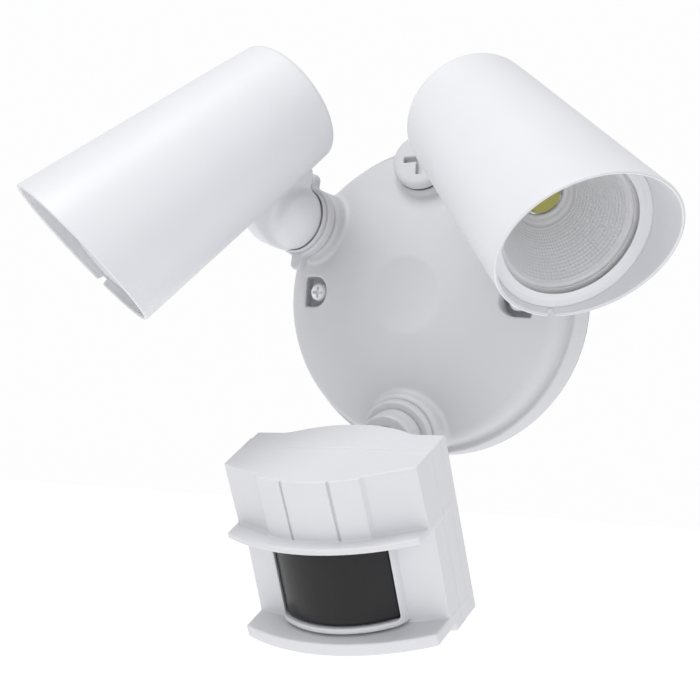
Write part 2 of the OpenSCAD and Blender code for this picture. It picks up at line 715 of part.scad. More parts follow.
module sensor_front() color([0.94, 0.95, 0.96]) sensor_at() difference() {
    union() {
        translate([0, 0, -brow_z]) linear_extrude(brow_z) clip_front() brow_plan(0);
        translate([0, 0, -brow_z - brow_t]) linear_extrude(brow_t) clip_front() shelf_plan();
        translate([0, 0, -shelf_z - 1]) linear_extrude(shelf_z - brow_z) clip_front() low_plan(0);
        translate([0, 0, lens_bot - 2.6]) linear_extrude(lens_top - lens_bot + 4.2) clip_front()
            bay_plan(1.6);
        translate([0, 0, -shelf_z - shelf_t]) linear_extrude(shelf_t) clip_front() shelf_plan();
        translate([0, 0, -sensor_h]) linear_extrude(12) clip_front()
            translate([-half_w, -20]) square([sensor_w, 20]);
    }
    // inside of the upper block, the lower block and the lens bay
    translate([0, 0, -brow_z + 1]) linear_extrude(brow_z - sensor_wall - 1) clip_in() brow_plan(sensor_wall);
    translate([0, 0, -shelf_z - 3]) linear_extrude(shelf_z - brow_z + 5) clip_in() low_plan(sensor_wall);
    translate([0, 0, -sensor_h + sensor_wall]) linear_extrude(sensor_h - 20) clip_in()
        translate([-half_w + sensor_wall, -20]) square([sensor_w - 2 * sensor_wall, 20]);
    translate([0, 0, lens_bot]) linear_extrude(lens_top - lens_bot) intersection() {
        bay_plan(0);
        translate([-60, -60]) square([120, 60 - 26]);
    }
    translate([-lens_half + 2, -32, lens_bot + 2]) cube([2 * lens_half - 4, 12, lens_top - lens_bot - 4]);
    translate([-lens_half - 3, -60, lens_bot]) cube([2 * lens_half + 6, 60 - 31.4, 0.01]);
    // mouth of the lens bay
    translate([0, 0, lens_bot]) linear_extrude(lens_top - lens_bot) difference() {
        bay_plan(3);
        translate([-60, -29.5]) square([120, 20]);
        bay_sides();
    }
    // two fine grooves in the brow
    for (x = [-10, 10]) translate([x - 0.45, -60, -brow_z])
        cube([0.9, 60 - 43.2, brow_z + 1]);
}

module bay_sides() {
    for (m = [0, 1]) mirror([m, 0]) translate([lens_half, -60]) square([10, 60]);
}

module clip_front() {
    intersection() {
        children();
        translate([-80, -80]) square([160, 80 + split_y - gap_seal]);
    }
}

module clip_in() {
    intersection() {
        children();
        translate([-80, -80]) square([160, 80 + split_y + 1]);
    }
}

gap_seal = 0.8;

module sensor_seal() color([0.15, 0.15, 0.16]) sensor_at()
    translate([0, split_y, 0]) rotate([90, 0, 0]) difference() {
        translate([-half_w + 0.3, -sensor_h + 0.3, 0]) cube([sensor_w - 0.6, sensor_h - 0.6, gap_seal]);
        translate([-half_w + 2.4, -sensor_h + 2.4, -1]) cube([sensor_w - 4.8, sensor_h - 4.8, 3]);
    }

module sensor_screws() color([0.7, 0.71, 0.73]) sensor_at()
    for (x = [-1, 1], z = [-10, -sensor_h + 13]) translate([x * (half_w - 7), 0, z])
        rotate([90, 0, 0]) {
            translate([0, 0, 1.4]) cylinder(r = 2.8, h = 2);
            translate([0, 0, 3.4]) cylinder(r = 1.6, h = 12);
        }

module pir_lens() color([0.1, 0.1, 0.11]) sensor_at() translate([0, 0, lens_bot + 0.1])
    linear_extrude(lens_top - lens_bot - 0.2) difference() {
        intersection() {
            translate([0, lens_R - lens_front]) circle(r = lens_R, $fn = 96);
            translate([-lens_half + 0.1, -60]) square([2 * lens_half - 0.2, 60 - 29.6]);
        }
        translate([0, lens_R - lens_front]) circle(r = lens_R - 1.2, $fn = 96);
    }

module lens_clip() color([0.93, 0.94, 0.95]) sensor_at() difference() {
    translate([-lens_half + 0.3, -29.5, lens_bot + 0.3])
        cube([2 * lens_half - 0.6, 2.2, lens_top - lens_bot - 0.6]);
    translate([-lens_half + 4, -40, lens_bot + 4]) cube([2 * lens_half - 8, 30, lens_top - lens_bot - 8]);
}

module sensor_board() color([0.1, 0.35, 0.2]) sensor_at() {
    translate([-27, -17.5, -62]) cube([54, 1.6, 52]);
    translate([-18, -15.9, -58]) cube([16, 9, 12]);
    translate([4, -15.9, -52]) cube([14, 7, 16]);
    for (x = [-dial_x, dial_x]) translate([x - 5, dial_y - 8, -sensor_h + 6]) cube([10, 13, 4]);
    translate([-22, -17.5, -sensor_h + 6]) cube([44, 1.6, 8]);
}

module pir_detector() color([0.72, 0.73, 0.75]) sensor_at() translate([0, -17.5, -46]) rotate([90, 0, 0]) {
    cylinder(r = 4.8, h = 0.8);
    translate([0, 0, 0.8]) cylinder(r = 4.2, h = 3.6);
}

module photocell() color([0.6, 0.2, 0.15]) sensor_at() translate([15, -17.5, -40]) rotate([90, 0, 0])
    cylinder(r = 2.6, h = 4);

module dial(x) {
    sensor_at() translate([x, dial_y, -sensor_h + 1.2]) difference() {
        union() {
            translate([0, 0, -4]) cylinder(r = dial_r, h = 3.6);
            translate([0, 0, -1]) cylinder(r = 2, h = 5.4);
        }
        translate([-0.6, -dial_r - 1, -4.5]) cube([1.2, dial_r + 1, 1.4]);
    }
}

module time_dial() color([0.2, 0.2, 0.21]) dial(-dial_x);

module range_dial() color([0.2, 0.2, 0.21]) dial(dial_x);

canopy_cover();
wall_gasket();
mounting_strap();
mounting_screws();
ground_screw();
led_driver();
driver_screws();
hub_plug();
plug_gasket();
hub_seals();
left_locknut();
left_arm();
left_seat_washer();
left_seat_nut();
left_foot();
left_foot_screws();
left_pivot_bolt();
left_barrel();
left_heat_sink();
left_sink_screws();
left_led_board();
left_cob_led();
left_reflector();
left_lens_gasket();
left_lens();
left_bezel();
right_locknut();
right_arm();
right_seat_washer();
right_seat_nut();
right_foot();
right_foot_screws();
right_pivot_bolt();
right_barrel();
right_heat_sink();
right_sink_screws();
right_led_board();
right_cob_led();
right_reflector();
right_lens_gasket();
right_lens();
right_bezel();
sensor_locknut();
sensor_arm();
sensor_cap();
sensor_seat_cup();
sensor_stem();
sensor_stem_nut();
sensor_back();
sensor_front();
sensor_seal();
sensor_screws();
pir_lens();
lens_clip();
sensor_board();
pir_detector();
photocell();
time_dial();
range_dial();

module left_locknut() { locknut(A_LEFT, -60); }
module left_arm() { arm(0); }
module left_seat_washer() { seat_washer(0); }
module left_seat_nut() { seat_nut(0); }
module left_foot() { foot(0); }
module left_foot_screws() { foot_screws(0); }
module left_pivot_bolt() { pivot_bolt(0); }
module left_barrel() { lamp_barrel(0); }
module left_heat_sink() { heat_sink(0); }
module left_sink_screws() { sink_screws(0); }
module left_led_board() { led_board(0); }
module left_cob_led() { cob_led(0); }
module left_reflector() { reflector(0); }
module left_lens_gasket() { lens_gasket(0); }
module left_lens() { lamp_lens(0); }
module left_bezel() { bezel(0); }
module right_locknut() { locknut(A_RIGHT, 60); }
module right_arm() { arm(1); }
module right_seat_washer() { seat_washer(1); }
module right_seat_nut() { seat_nut(1); }
module right_foot() { foot(1); }
module right_foot_screws() { foot_screws(1); }
module right_pivot_bolt() { pivot_bolt(1); }
module right_barrel() { lamp_barrel(1); }
module right_heat_sink() { heat_sink(1); }
module right_sink_screws() { sink_screws(1); }
module right_led_board() { led_board(1); }
module right_cob_led() { cob_led(1); }
module right_reflector() { reflector(1); }
module right_lens_gasket() { lens_gasket(1); }
module right_lens() { lamp_lens(1); }
module right_bezel() { bezel(1); }
module sensor_locknut() { locknut(A_SENSOR, 0); }
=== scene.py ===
import json
import math

import bpy
import numpy as np
from mathutils import Matrix, Vector


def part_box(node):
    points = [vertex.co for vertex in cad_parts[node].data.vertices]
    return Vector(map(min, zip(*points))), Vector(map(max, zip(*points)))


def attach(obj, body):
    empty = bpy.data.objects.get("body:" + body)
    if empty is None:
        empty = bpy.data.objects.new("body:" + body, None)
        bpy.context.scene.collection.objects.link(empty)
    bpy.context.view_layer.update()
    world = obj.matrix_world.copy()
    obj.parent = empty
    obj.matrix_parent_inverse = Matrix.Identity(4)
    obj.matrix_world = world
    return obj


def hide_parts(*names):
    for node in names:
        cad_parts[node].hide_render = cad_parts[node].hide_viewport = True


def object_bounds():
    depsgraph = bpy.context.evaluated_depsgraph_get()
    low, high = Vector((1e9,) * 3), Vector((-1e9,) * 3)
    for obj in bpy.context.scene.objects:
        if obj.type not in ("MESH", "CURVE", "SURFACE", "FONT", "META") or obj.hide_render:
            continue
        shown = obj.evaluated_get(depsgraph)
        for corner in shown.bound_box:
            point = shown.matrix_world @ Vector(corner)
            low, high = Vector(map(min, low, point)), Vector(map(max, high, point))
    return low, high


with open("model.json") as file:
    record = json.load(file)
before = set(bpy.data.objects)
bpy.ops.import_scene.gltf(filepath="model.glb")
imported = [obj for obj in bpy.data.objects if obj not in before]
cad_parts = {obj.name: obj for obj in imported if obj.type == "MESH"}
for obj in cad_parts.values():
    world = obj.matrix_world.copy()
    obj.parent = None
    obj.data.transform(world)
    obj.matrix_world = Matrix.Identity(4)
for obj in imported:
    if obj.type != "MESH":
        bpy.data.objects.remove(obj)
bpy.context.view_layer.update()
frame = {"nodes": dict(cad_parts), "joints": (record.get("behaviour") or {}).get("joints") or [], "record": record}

# Sizes are in millimetres in the part's own frames, and every mesh is made in metres.

# Canopy
CANOPY_R, RIM_DEPTH, FACE_DEPTH, FACE_R = 63.5, 15.6, 26.7, 60.0
DOME_RISE, SHELL, DIMPLE_R, DIMPLE_BALL = 18.7, 2.8, 15.7, 60.0
DOME_R = (FACE_R ** 2 + DOME_RISE ** 2) / (2 * DOME_RISE)
DOME_C = FACE_DEPTH + DOME_RISE - DOME_R
BOX_X, WELL_R, WELL_DEEP = 44.45, 6.1, 9.0
POST_R, POST_Y, POST_TOP = 3.6, 23.0, 24.0
BOX_HOLE_R, BOX_HEAD_R, BOX_HEAD_H, BOX_SHANK_R, BOX_SHANK_END = 2.38, 3.7, 7.2, 1.9, -14.0
# Hubs and arms
BOSS_R, SENSOR_BOSS_R, PLUG_BOSS_R, BOSS_TOP = 14.5, 16.0, 13.0, 6.0
STUB_R, BORE_R, GAP = 10.3, 10.65, 0.35
THREAD_DEPTH, STUB_PITCH, BOX_PITCH, STUB_END, STUB_BORE_R = 0.16, 1.8, 1.1, -8.0, 7.4
NUT_R, WING_X, WING_HALF, GROOVE_R, WING_TURN = 14.6, 17.4, 3.0, 13.2, 60
BALL_OUT, BALL_R, BALL_WALL, BOLT_R = 17.7, 13.5, 3.0, 4.0
BALL_CUT, MOUTH_A = BALL_OUT - 7, math.radians(44)
CUP_R, CUP_TOP, SEAT_TOP, WEB_T, WIRE_R = 13.8, 12.6, 7.6, 4.2, 2.6
NUT_BOT, NUT_TOP = BOSS_TOP + GAP, BALL_CUT - GAP
SBALL_OUT, SBALL_R, SARM_R, SCAP_Z, SMOUTH = 16.5, 7.5, 11.6, 16.2, 20.0
SEAT_OUT_R = SBALL_R + GAP + 1.35
# Lamp head
RIM_R, HEAD_LEN, TAPER, AXIS_OFF, RIM_AHEAD = 35.7, 112.0, 0.082, 45.7, 93.0
HOOD_WALL, HOOD_SLOPE, HOOD_ROLL, LENS_DEPTH, LENS_R = 2.4, 18.4, 33.9, 16.0, 27.4
SEAT_Z, BOARD_Z, RIM_WALL = -LENS_DEPTH - 3, -LENS_DEPTH - 27, 1.5
REAR_ROUND, END_WALL, SIDE_RINGS, HOOD_START = 3.2, 3, (-98, -80, -60), -42
NOTCH_DEEP, BEZEL_GAP = 2.6, 0.03
# Sensor
HALF_W, SENSOR_H, SIDE_D, FRONT_D = 41.0, 74.5, 29.4, 44.8
BROW_Z, BROW_T, SHELF_Z, SHELF_T, SHELF_FRONT = 25.8, 2.6, 66.2, 5.2, 49.6
SENSOR_WALL, SPLIT_Y, FRONT_R, BACK_RISE, BACK_HALF = 2.2, -14.0, 59.7, 8.7, 27.0
BACK_R = (BACK_HALF ** 2 + BACK_RISE ** 2) / (2 * BACK_RISE)
STEM_Y, STEM_Z, LOW_SIDE = 31.2, -17.6, 24.3
PIR_R, PIR_FRONT, PIR_HALF = 36.0, 42.5, 25.0
PIR_TOP, PIR_BOT = -BROW_Z - BROW_T - 1.6, -SHELF_Z + 3.6
DIAL_X, DIAL_Y, DIAL_R = 14.0, -8.0, 6.0
BROW_LEAN = 1.6


# ---------------------------------------------------------------- frames

def basis(origin, x, y, z):
    """A 4x4 matrix in millimetres from an origin and three unit axes."""
    m = np.eye(4)
    m[:3, 0], m[:3, 1], m[:3, 2], m[:3, 3] = x, y, z, origin
    return m


def unit(v):
    v = np.array(v, float)
    return v / np.linalg.norm(v)


def move(x, y, z):
    m = np.eye(4)
    m[:3, 3] = (x, y, z)
    return m


def turn(axis, degrees):
    return np.array(Matrix.Rotation(math.radians(degrees), 4, axis))


def joint_frame(name):
    j = next(j for j in frame["joints"] if j["name"] == name)
    return np.array(j["pos_m"]) * 1000, unit(j["axis"])


def node_centre(name):
    lo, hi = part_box(name)
    return np.array((lo + hi) / 2) * 1000


OUT = np.array([0.0, -1.0, 0.0])
WALL = basis((0, 0, 0), (1, 0, 0), (0, 0, 1), OUT)


def hub_frame(ball, axis, out):
    """Frame on a hub: z along the hub, x away from the middle of the canopy."""
    radial = unit(axis - (axis @ OUT) * OUT)
    y = np.cross(OUT, radial)
    return basis(ball - out * axis, np.cross(y, axis), y, axis)


HUB = {s: hub_frame(*joint_frame(s + "_swivel"), BALL_OUT if s != "sensor" else SBALL_OUT)
       for s in ("left", "right", "sensor")}
FLIP = np.array([1, 1, -1])
HUB["plug"] = hub_frame(HUB["sensor"][:3, 3] * FLIP, HUB["sensor"][:3, 2] * FLIP, 0)


def head_frame(side):
    """Frame at a lamp's ball: z to the barrel's axis, -y forwards along the barrel."""
    ball, z = joint_frame(side + "_twist")
    ahead = node_centre(side + "_lens") - ball
    y = unit((ahead @ z) * z - ahead)
    return basis(ball, np.cross(y, z), y, z)


HEAD = {s: head_frame(s) for s in ("left", "right")}
BARREL = {s: HEAD[s] @ move(0, -RIM_AHEAD, AXIS_OFF) @ turn("X", 90) for s in HEAD}


def sensor_frame():
    ball, z = joint_frame("sensor_pan")
    x = joint_frame("sensor_nod")[1]
    y = np.cross(z, x)
    return basis(ball - y * STEM_Y - z * STEM_Z, x, y, z)


SENSOR = sensor_frame()


def into(m, p):
    """Points p of the row frame, in millimetres, as the frame m sees them."""
    r, t = m[:3, :3], m[:3, 3]
    return (p - t) @ r


# ---------------------------------------------------------------- meshes

def new_piece(name, verts, faces, body, slot, material, replaces=(), matrix=None):
    """A mesh piece from millimetre points in the frame given, riding on a body."""
    co = np.asarray(verts, float).reshape(-1, 3)
    if matrix is not None:
        co = co @ matrix[:3, :3].T + matrix[:3, 3]
    mesh = bpy.data.meshes.new(name)
    mesh.from_pydata((co * 0.001).tolist(), [], [list(map(int, f)) for f in faces])
    mesh.validate()
    mesh.polygons.foreach_set("use_smooth", [True] * len(mesh.polygons))
    mesh.materials.append(material)
    piece = bpy.data.objects.new(name, mesh)
    bpy.context.scene.collection.objects.link(piece)
    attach(piece, body)
    if replaces:
        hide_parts(*replaces)
    return piece


def weighted(piece):
    """Shading that keeps big faces flat beside their rounded edges."""
    m = piece.modifiers.new("normals", "WEIGHTED_NORMAL")
    m.weight = 80
    m.keep_sharp = True
    return piece


def rounded(points, steps=5):
    """A polyline through (r, z, radius) corners, each rounded to its radius."""
    n, made = len(points), []
    for i, (r, z, rad) in enumerate(points):
        p = np.array([r, z], float)
        if rad <= 0 or i in (0, n - 1):
            made.append(p)
            continue
        a = np.array(points[i - 1][:2], float) - p
        b = np.array(points[i + 1][:2], float) - p
        la, lb = np.linalg.norm(a), np.linalg.norm(b)
        a, b = a / la, b / lb
        half = math.acos(max(-1, min(1, float(a @ b)))) / 2
        if half > math.pi / 2 - 0.02:
            made.append(p)
            continue
        cut = min(rad / math.tan(half), 0.49 * la, 0.49 * lb)
        rad = cut * math.tan(half)
        centre = p + unit(a + b) * (rad / math.sin(half))
        start, end = p + a * cut - centre, p + b * cut - centre
        t0, t1 = math.atan2(start[1], start[0]), math.atan2(end[1], end[0])
        dt = (t1 - t0 + math.pi) % (2 * math.pi) - math.pi
        for k in range(steps + 1):
            t = t0 + dt * k / steps
            made.append(centre + rad * np.array([math.cos(t), math.sin(t)]))
    return np.array(made)


def grid_faces(rows, cols, closed_rows=False, base=0):
    """Quads between rings of points: rows rings of cols points each."""
    i = np.arange(rows if closed_rows else rows - 1)[:, None]
    j = np.arange(cols)[None, :]
    a, b = i * cols + j, i * cols + (j + 1) % cols
    c, d = ((i + 1) % rows) * cols + (j + 1) % cols, ((i + 1) % rows) * cols + j
    return (np.stack([a, b, c, d], -1).reshape(-1, 4) + base).tolist()


def lathe_mesh(profile, segs=96):
    """Rings of a profile of (r, z) turned about z. Ends on the axis are closed."""
    profile = np.asarray(profile, float)
    start, end = profile[0][0] < 1e-6, profile[-1][0] < 1e-6
    rings = profile[(1 if start else 0):(len(profile) - 1 if end else len(profile))]
    t = np.linspace(0, 2 * math.pi, segs, endpoint=False)
    r, z = rings[:, 0][:, None], rings[:, 1][:, None]
    v = np.stack([r * np.cos(t), r * np.sin(t), z + 0 * t], -1).reshape(-1, 3)
    closed = not start and not end
    f = grid_faces(len(rings), segs, closed_rows=closed)
    v = v.tolist()
    if start:
        v.append([0, 0, profile[0][1]])
        f += [[len(v) - 1, (j + 1) % segs, j] for j in range(segs)]
    if end:
        v.append([0, 0, profile[-1][1]])
        last = (len(rings) - 1) * segs
        f += [[len(v) - 1, last + j, last + (j + 1) % segs] for j in range(segs)]
    return v, f


def lathe(name, points, body, slot, material, matrix, replaces=(), segs=96, steps=4):
    v, f = lathe_mesh(rounded(points, steps), segs)
    return weighted(new_piece(name, v, f, body, slot, material, replaces, matrix))


# ---------------------------------------------------------------- solids from distance

def smin(a, b, k):
    h = np.clip(0.5 + 0.5 * (b - a) / k, 0, 1)
    return b * (1 - h) + a * h - k * h * (1 - h)


def smax(a, b, k):
    return -smin(-a, -b, k)


def rad2(p):
    return np.hypot(p[:, 0], p[:, 1])


def rod(p, r, z0, z1, k=0.8):
    """Distance to an upright cylinder with its ends rounded over k."""
    return smax(smax(rad2(p) - r, p[:, 2] - z1, k), z0 - p[:, 2], k)


def slab(p, lo, hi, k=0.6):
    """Distance to a box between two corners, its edges rounded over k."""
    lo, hi = np.array(lo, float), np.array(hi, float)
    q = np.abs(p - (lo + hi) / 2) - (hi - lo) / 2 + k
    return np.linalg.norm(np.maximum(q, 0), axis=1) + np.minimum(q.max(1), 0) - k


def poly2(p, x, y):
    """Signed distance in the x, y plane to a closed polygon of points p."""
    p = np.asarray(p, float)
    best, inside = np.full(len(x), 1e9), np.zeros(len(x), bool)
    for i in range(len(p)):
        (ax, ay), (bx, by) = p[i - 1], p[i]
        ex, ey = bx - ax, by - ay
        t = np.clip(((x - ax) * ex + (y - ay) * ey) / (ex * ex + ey * ey + 1e-12), 0, 1)
        best = np.minimum(best, (x - ax - t * ex) ** 2 + (y - ay - t * ey) ** 2)
        crosses = (ay > y) != (by > y)
        with np.errstate(divide="ignore", invalid="ignore"):
            hit = x < (bx - ax) * (y - ay) / (by - ay + (1e-12 if by == ay else 0)) + ax
        inside ^= crosses & hit
    return np.sqrt(best) * np.where(inside, -1, 1)


def extrude(d2, z, z0, z1, k):
    """A plan's distance carried between two heights, its edges rounded over k."""
    dz = np.abs(z - (z0 + z1) / 2) - (z1 - z0) / 2
    q0, q1 = d2 + k, dz + k
    return np.hypot(np.maximum(q0, 0), np.maximum(q1, 0)) + np.minimum(np.maximum(q0, q1), 0) - k


BLOCK = 8


def solid(name, field, lo, hi, h, body, slot, material, matrix, replaces=(), relax=2):
    """A smooth mesh on the zero surface of field(points), points in the frame given."""
    lo = np.array(lo, float)
    blocks = np.ceil((np.array(hi, float) - lo) / (h * BLOCK)).astype(int)
    n = blocks * BLOCK + 1
    mid = [lo[a] + (np.arange(blocks[a]) + 0.5) * BLOCK * h for a in range(3)]
    centres = np.stack(np.meshgrid(*mid, indexing="ij"), -1).reshape(-1, 3)
    coarse = field(centres).reshape(blocks)
    near = np.abs(coarse) < BLOCK * h * 0.87 * 1.25 + 1.0
    f = np.full(n, 1e3, np.float32)
    f[:-1, :-1, :-1] = np.sign(coarse).repeat(BLOCK, 0).repeat(BLOCK, 1).repeat(BLOCK, 2) * 1e3
    mask = np.zeros(n, bool)
    for b in np.argwhere(near):
        s = b * BLOCK
        mask[s[0]:s[0] + BLOCK + 1, s[1]:s[1] + BLOCK + 1, s[2]:s[2] + BLOCK + 1] = True
    at = np.argwhere(mask)
    f[mask] = field(lo + at * h)
    s = f < 0
    count = sum(s[i:n[0] - 1 + i, j:n[1] - 1 + j, k:n[2] - 1 + k].astype(np.int8)
                for i in (0, 1) for j in (0, 1) for k in (0, 1))
    cells = np.argwhere((count > 0) & (count < 8))
    index = np.full(n - 1, -1, np.int64)
    index[tuple(cells.T)] = np.arange(len(cells))
    total, hits = np.zeros((len(cells), 3)), np.zeros(len(cells))
    eye = np.eye(3, dtype=int)
    for a in range(3):
        b, c = (a + 1) % 3, (a + 2) % 3
        for i in (0, 1):
            for j in (0, 1):
                p0 = cells + eye[b] * i + eye[c] * j
                f0, f1 = f[tuple(p0.T)], f[tuple((p0 + eye[a]).T)]
                cross = (f0 < 0) != (f1 < 0)
                t = np.where(cross, f0 / np.where(cross, f0 - f1, 1), 0)
                total += np.where(cross[:, None], p0 + t[:, None] * eye[a], 0)
                hits += cross
    v = lo + total / hits[:, None] * h
    faces = []
    for a in range(3):
        b, c = (a + 1) % 3, (a + 2) % 3
        one = [slice(0, n[x] - 1) if x == a else slice(1, n[x] - 1) for x in range(3)]
        two = [slice(1, n[x]) if x == a else slice(1, n[x] - 1) for x in range(3)]
        g = np.argwhere(s[tuple(one)] != s[tuple(two)]) + 1 - eye[a]
        up = s[tuple(g.T)]
        quad = [index[tuple((g - eye[b] * i - eye[c] * j).T)]
                for i, j in ((1, 1), (0, 1), (0, 0), (1, 0))]
        quad = np.stack(quad, 1)
        faces.append(np.where(up[:, None], quad, quad[:, ::-1]))
    faces = np.concatenate(faces)
    faces = faces[(faces >= 0).all(1)]

    def project(v, times):
        e = h * 0.2
        for _ in range(times):
            d = field(v)
            grad = [field(v + eye[a] * e) - field(v - eye[a] * e) for a in range(3)]
            grad = np.stack(grad, 1) / (2 * e)
            size = np.maximum((grad ** 2).sum(1), 0.2)
            v = v - np.clip(d / size, -h, h)[:, None] * grad
        return v

    v = project(v, 2)
    for _ in range(relax):
        total, hits = np.zeros_like(v), np.zeros(len(v))
        for k in range(4):
            np.add.at(total, faces[:, k], v[faces[:, (k + 1) % 4]] + v[faces[:, (k + 3) % 4]])
            np.add.at(hits, faces[:, k], 2)
        v = project(v * 0.4 + 0.6 * total / np.maximum(hits, 1)[:, None], 1)
    v = project(v, 1)
    return new_piece(name, v, faces.tolist(), body, slot, material, replaces, matrix)


# ---------------------------------------------------------------- materials

def finish(name, color, rough=0.5, metallic=0.0, vary=0.03, grain=1600.0, bump=0.15,
           depth=0.00006, patch=35.0, rough_vary=0.06, coat=0.0, specular=0.5,
           coat_rough=0.1, alpha=1.0, ior=1.45, tint=None, glow=0.0):
    """A moulded, coated, cast or glass finish with colour patches, grain and bump."""
    mat = bpy.data.materials.new(name)
    mat.use_nodes = True
    tree = mat.node_tree
    nodes, links = tree.nodes, tree.links
    shader = nodes["Principled BSDF"]
    shader.inputs["Metallic"].default_value = metallic
    shader.inputs["IOR"].default_value = ior
    shader.inputs["Specular IOR Level"].default_value = specular
    shader.inputs["Coat Weight"].default_value = coat
    shader.inputs["Coat Roughness"].default_value = coat_rough
    shader.inputs["Alpha"].default_value = alpha
    shader.inputs["Emission Color"].default_value = (*color, 1)
    shader.inputs["Emission Strength"].default_value = glow
    where = nodes.new("ShaderNodeTexCoord")

    def noise(scale, detail, roughness=0.5):
        node = nodes.new("ShaderNodeTexNoise")
        node.inputs["Scale"].default_value = scale
        node.inputs["Detail"].default_value = detail
        node.inputs["Roughness"].default_value = roughness
        links.new(where.outputs["Object"], node.inputs["Vector"])
        return node

    broad, fine = noise(patch, 3.0), noise(grain, 2.0, 0.6)
    ramp = nodes.new("ShaderNodeValToRGB")
    dark = [c * (1 - vary) for c in color]
    light = [min(1, c * (1 + vary)) for c in (tint or color)]
    ramp.color_ramp.elements[0].position, ramp.color_ramp.elements[1].position = 0.3, 0.7
    ramp.color_ramp.elements[0].color = (*dark, 1)
    ramp.color_ramp.elements[1].color = (*light, 1)
    links.new(broad.outputs["Fac"], ramp.inputs["Fac"])
    links.new(ramp.outputs["Color"], shader.inputs["Base Color"])
    spread = nodes.new("ShaderNodeMapRange")
    spread.inputs["To Min"].default_value = max(0.02, rough - rough_vary)
    spread.inputs["To Max"].default_value = min(1, rough + rough_vary)
    links.new(fine.outputs["Fac"], spread.inputs["Value"])
    links.new(spread.outputs["Result"], shader.inputs["Roughness"])
    relief = nodes.new("ShaderNodeBump")
    relief.inputs["Strength"].default_value = bump
    relief.inputs["Distance"].default_value = depth
    links.new(fine.outputs["Fac"], relief.inputs["Height"])
    links.new(relief.outputs["Normal"], shader.inputs["Normal"])
    return mat


MAT = {
    "canopy_coat": finish("canopy_coat", (0.50, 0.502, 0.52), 0.50, bump=0.2, vary=0.012),
    "head_coat": finish("head_coat", (0.60, 0.602, 0.625), 0.40, bump=0.12, vary=0.01, grain=1900),
    "arm_coat": finish("arm_coat", (0.51, 0.512, 0.53), 0.45, bump=0.25, vary=0.015, grain=1200),
    "sensor_plastic": finish("sensor_plastic", (0.565, 0.567, 0.588), 0.48, bump=0.15, vary=0.01,
                             grain=2600),
    "black_lens": finish("black_lens", (0.014, 0.014, 0.015), 0.26, bump=0.03, vary=0.1, patch=60,
                         rough_vary=0.03, specular=0.22),
    "gasket_foam": finish("gasket_foam", (0.035, 0.035, 0.037), 0.85, bump=0.6, vary=0.15,
                          grain=1400, depth=0.0002),
    "zinc_steel": finish("zinc_steel", (0.60, 0.61, 0.63), 0.34, 1.0, vary=0.08, patch=220,
                         bump=0.15),
    "screw_white": finish("screw_white", (0.72, 0.73, 0.75), 0.38, vary=0.03, patch=150),
    "ground_green": finish("ground_green", (0.05, 0.26, 0.10), 0.36, 0.6, vary=0.08, patch=200),
    "driver_black": finish("driver_black", (0.022, 0.022, 0.024), 0.5, bump=0.3, vary=0.12),
    "sink_alu": finish("sink_alu", (0.58, 0.59, 0.61), 0.42, 1.0, vary=0.06, patch=120, bump=0.3),
    "board_white": finish("board_white", (0.78, 0.78, 0.76), 0.35, vary=0.03, patch=160),
    "cob_yellow": finish("cob_yellow", (0.30, 0.275, 0.002), 0.42, vary=0.08, patch=420,
                         bump=0.08, specular=0.25),
    "reflector_coat": finish("reflector_coat", (0.50, 0.50, 0.515), 0.36, 0.1, vary=0.02,
                             patch=90, bump=0.05),
    "clear_glass": finish("clear_glass", (0.90, 0.92, 0.93), 0.05, vary=0.01, patch=40,
                          bump=0.01, rough_vary=0.01, alpha=0.04),
    "lens_seal": finish("lens_seal", (0.50, 0.50, 0.51), 0.6, vary=0.03, patch=120, bump=0.2),
    "board_green": finish("board_green", (0.02, 0.12, 0.05), 0.35, vary=0.2, patch=300),
    "can_nickel": finish("can_nickel", (0.62, 0.60, 0.56), 0.3, 1.0, vary=0.06, patch=300),
    "photo_red": finish("photo_red", (0.42, 0.06, 0.035), 0.3, vary=0.1, patch=300),
    "dial_grey": finish("dial_grey", (0.045, 0.045, 0.048), 0.45, vary=0.1, bump=0.3),
    "solder": finish("solder", (0.66, 0.66, 0.67), 0.25, 1.0, vary=0.08, patch=900),
}
SLOT_OF = {s["node"]: s["material_slot"] for s in frame["record"]["subparts"]}


# ---------------------------------------------------------------- canopy

def dome_z(r):
    return DOME_C + math.sqrt(DOME_R ** 2 - r * r)


def d_shape(p):
    """Plan of a screw well: round inwards, square outwards, both sides at once."""
    x, y = np.abs(p[:, 0]) - BOX_X, p[:, 1]
    return smin(np.hypot(x, y) - WELL_R, smax(np.abs(x - 3) - 3, np.abs(y) - WELL_R, 1.2), 0.4)


